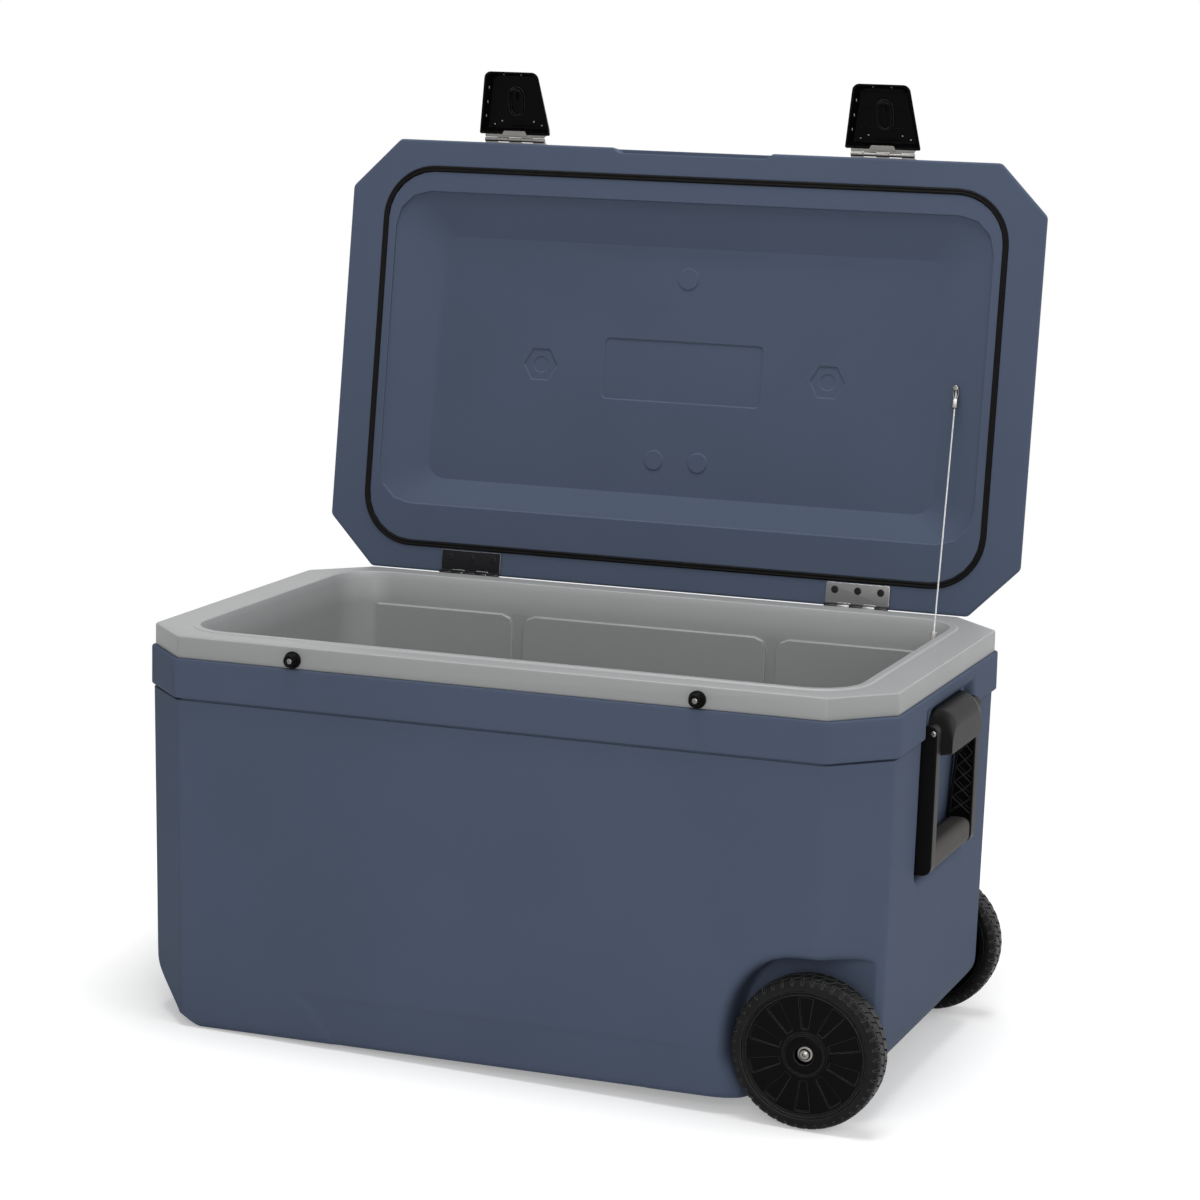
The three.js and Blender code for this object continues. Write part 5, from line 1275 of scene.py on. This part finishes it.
# Screws of the hinges: where the middle one stands, how far it tilts, and the turn of its cross
hingeScrews = {
    "pitch": 26,
    "head": (4.1, 0.35, 0.3, 0.55, 0.5),
    "shank": (1.8, 5, 0.4),
    "lid": {"y": 226.22, "z": 0.95, "tilt": 0, "turn": 25, "more": 40},
    "body": {"y": 244.1, "z": -20.65, "tilt": 90, "turn": 0, "more": 15},
}
stud = {
    "place": (215, -242, -13.5),
    "profile": [
        (0.05, 0), (8.4, 0), (8.75, -0.3), (8.8, -0.8), (8.8, -2.2), (8.6, -2.8), (8.2, -3.1), (7.6, -3.2),
        (7.2, -3.5), (7, -4.1), (6.9, -4.6), (6.6, -5), (6.5, -5.6), (6.5, -8.8), (6.3, -9.7), (5.7, -10.3),
        (4.9, -10.6), (3.6, -10.6), (3.3, -10.4), (3.2, -9.8), (3.2, -8.6), (0.05, -8.6),
    ],
    "screw": (3, 0.8, 0.5, 0.9, 0.55),
    "screwSeat": -8.7,
}
leaf = {
    "half": 36,
    "thickness": 1.8,
    "lidLength": 27,
    "lidFace": 2.7,
    "lidTab": 2,
    "bodyLength": 30,
    "bodyY": 242,
    "knuckle": 3.5,
    "setBack": 0.3,
    "bore": 1.95,
    "count": 5,
    "gap": 0.4,
}


def makeHingeScrews(side, sign, carrier, matrix):
    made = hingeScrews[carrier]
    for index in (1, 2, 3):
        x = sign * hinge["x"] + (index - 2) * hingeScrews["pitch"]
        lay = Matrix.Translation((x, made["y"], made["z"])) @ spin(made["tilt"], "X")
        lay = lay @ spin(made["turn"] + made["more"] * index, "Z")
        part = moved(screw(hingeScrews["head"], hingeScrews["shank"], 16), lay)
        name, node = f"{carrier}HingeScrew_{side}_{index}", f"{carrier}_hinge_screw_{side}_{index}"
        makePiece(name, carrier, "black_steel", matrix, part, [node])


def makeStud(side, sign):
    x, y, z = stud["place"]
    place = Matrix.Translation((sign * x, y, z))
    part = moved(lathe(stud["profile"], 48), place)
    replaced = [f"latch_stud_{side}"]
    makePiece(f"studBody_{side}", "body", "black_plastic", onBody, part, replaced, 35, "glossBlack")
    seat = place @ Matrix.Translation((0, stud["screwSeat"], 0)) @ spin(-90, "X")
    part = moved(crossHead(*stud["screw"]), seat)
    makePiece(f"studScrew_{side}", "body", "steel", onBody, part, [f"stud_screw_{side}"])


def knuckleSpans(first):
    pitch = 2 * leaf["half"] / leaf["count"]
    starts = [-leaf["half"] + i * pitch + leaf["gap"] / 2 for i in range(first, leaf["count"], 2)]
    return [(start, start + pitch - leaf["gap"]) for start in starts]


def knuckles(first, x):
    outline = circle(leaf["knuckle"], 32, hinge["y"], hinge["z"])
    wall = leaf["knuckle"] - leaf["bore"]
    rings = []
    for low, high in knuckleSpans(first):
        a, b = x + low, x + high
        section = [(0.35, a), (0.1, a + 0.1), (0, a + 0.35), (0, b - 0.35), (0.1, b - 0.1), (0.35, b)]
        rings.append(band(outline, section + [(wall, b), (wall, a)], "x"))
    return rings


# A plate that ends short of the axis, tabs from it to its knuckles, and every second knuckle
def leafPart(x, axis, length, low, high, tabHigh, first, lay):
    half, near = leaf["half"], leaf["knuckle"] + leaf["setBack"]
    plate = boxOutline(x - half, x + half, axis - length, axis - near, 1.5)
    flats = [slab(plate, low, high, "z", 0.35, 0.1)]
    for start, end in knuckleSpans(first):
        tab = boxOutline(x + start, x + end, axis - near - 1, axis, 0.3)
        flats.append(slab(tab, low, tabHigh, "z", 0.2, 0.1))
    return joined([moved(flat, lay) for flat in flats] + knuckles(first, x))


def makeLeaves(side, sign):
    x, face, inner = sign * hinge["x"], leaf["lidFace"], -leaf["bodyY"]
    low, outer = face - leaf["thickness"], inner - leaf["thickness"]
    # the lid's leaves get the black steel with a painted reflection, the body's leaves the plain black steel
    part = leafPart(x, hinge["y"], leaf["lidLength"], low, face, leaf["lidTab"], 1, spin(0, "X"))
    makePiece(f"lidLeaf_{side}", "lid", "black_steel", onLid, part, [f"lid_hinge_leaf_{side}"], 35, "leaf")
    part = leafPart(x, hinge["z"], leaf["bodyLength"], outer, inner, inner, 0, spin(90, "X"))
    makePiece(f"bodyLeaf_{side}", "body", "black_steel", onBody, part, [f"body_hinge_leaf_{side}"])


for side, sign in sides.items():
    makeHingeScrews(side, sign, "lid", onLid)
    makeHingeScrews(side, sign, "body", onBody)
    makeStud(side, sign)
    makeLeaves(side, sign)
print("hinges, screws and studs made")


# The lid's seal: a soft strip with two lips, swept round its groove
seal = {"halfLength": 362.5, "back": 214, "front": -211.5, "radius": 57, "half": 3.25}


def makeSeal():
    half, length = seal["half"], seal["halfLength"]
    outline = boxOutline(-length, length, seal["front"], seal["back"], seal["radius"], 24)
    lip = [(half, 5.3), (half, 2.6), (half - 0.5, 1.9), (half - 1.4, 1.5), (0.9, 1.6), (0.4, 2.2)]
    section = [(-inward, z) for inward, z in lip] + [(0, 2.5)] + list(reversed(lip))
    makePiece("lidSeal", "lid", "seal_rubber", onLid, band(outline, section, "z"), ["lid_gasket"], 50)


makeSeal()
print("seal laid")


# A plain pale floor, a white surround and four large soft lamps
studio = {
    "floor": -8.7,
    "floorReach": 40,
    "floorShade": 0.8,
    "floorLift": 0.3,
    "shadowReach": (0.75, 1.5),
    "surround": 0.36,
    "lamps": {
        "overhead": {"place": (0.05, -0.1, 3.1), "aim": (0, 0, 0.4), "size": 2, "watts": 76},
        "front": {"place": (1.1, -3.5, 1.5), "aim": (0, 0, 0.3), "size": 2.4, "watts": 54},
        "right": {"place": (3.4, -0.5, 1.5), "aim": (0, 0, 0.3), "size": 2.2, "watts": 8},
        "behind": {"place": (3, 1.6, 1.6), "aim": (0, 0, 0.4), "size": 2.4, "watts": 36},
    },
}


# Near the cooler the floor keeps its shadow, and further out the camera sees it white
def makeFloor():
    reach, height, shade = studio["floorReach"], studio["floor"] * mm, studio["floorShade"]
    mesh = bpy.data.meshes.new("floor")
    corners = [(x * reach, y * reach, height) for x, y in ((-1, -1), (1, -1), (1, 1), (-1, 1))]
    mesh.from_pydata(corners, [], [(0, 1, 2, 3)])
    floor = bpy.data.objects.new("floor", mesh)
    bpy.context.scene.collection.objects.link(floor)
    constants = {"Base Color": (shade, shade, shade, 1), "Roughness": 0.9, "Specular IOR Level": 0}
    paint = Paint("paleFloor", constants)
    seen = paint.rays("Camera", "Glossy")
    lift = paint.node("ShaderNodeEmission", None, {"Strength": seen * studio["floorLift"]})
    near = paint.node("ShaderNodeAddShader", None, {0: paint.shader, 1: lift})
    far = paint.node("ShaderNodeEmission", None, {"Strength": 1})
    away = paint.node("ShaderNodeVectorMath", {"operation": "LENGTH"}, {0: paint.place}, out=1)
    faded = paint.span(away, *studio["shadowReach"], 0, 1) * seen
    mesh.materials.append(paint.done(paint.node("ShaderNodeMixShader", None, {0: faded, 1: near, 2: far})))


def makeSurround():
    world = bpy.data.worlds.new("surround")
    bpy.context.scene.world = world
    world.use_nodes = True
    sky = Tree(world.node_tree)
    strength = sky.span(sky.rays("Camera", "Glossy", "Transmission"), 0, 1, studio["surround"], 1)
    white = sky.node("ShaderNodeBackground", None, {"Color": (1, 1, 1, 1), "Strength": strength})
    sky.node("ShaderNodeOutputWorld", None, {0: white})


def makeLamps():
    for name, lamp in studio["lamps"].items():
        data = bpy.data.lights.new(name, "AREA")
        data.shape = "DISK"
        data.size = lamp["size"]
        data.energy = lamp["watts"]
        light = bpy.data.objects.new(name, data)
        bpy.context.scene.collection.objects.link(light)
        light.location = lamp["place"]
        aim = Vector(lamp["aim"]) - Vector(lamp["place"])
        light.rotation_mode = "QUATERNION"
        light.rotation_quaternion = aim.to_track_quat("-Z", "Y")


makeFloor()
makeSurround()
makeLamps()
bpy.context.scene.view_settings.view_transform = "Standard"
print("studio lit")
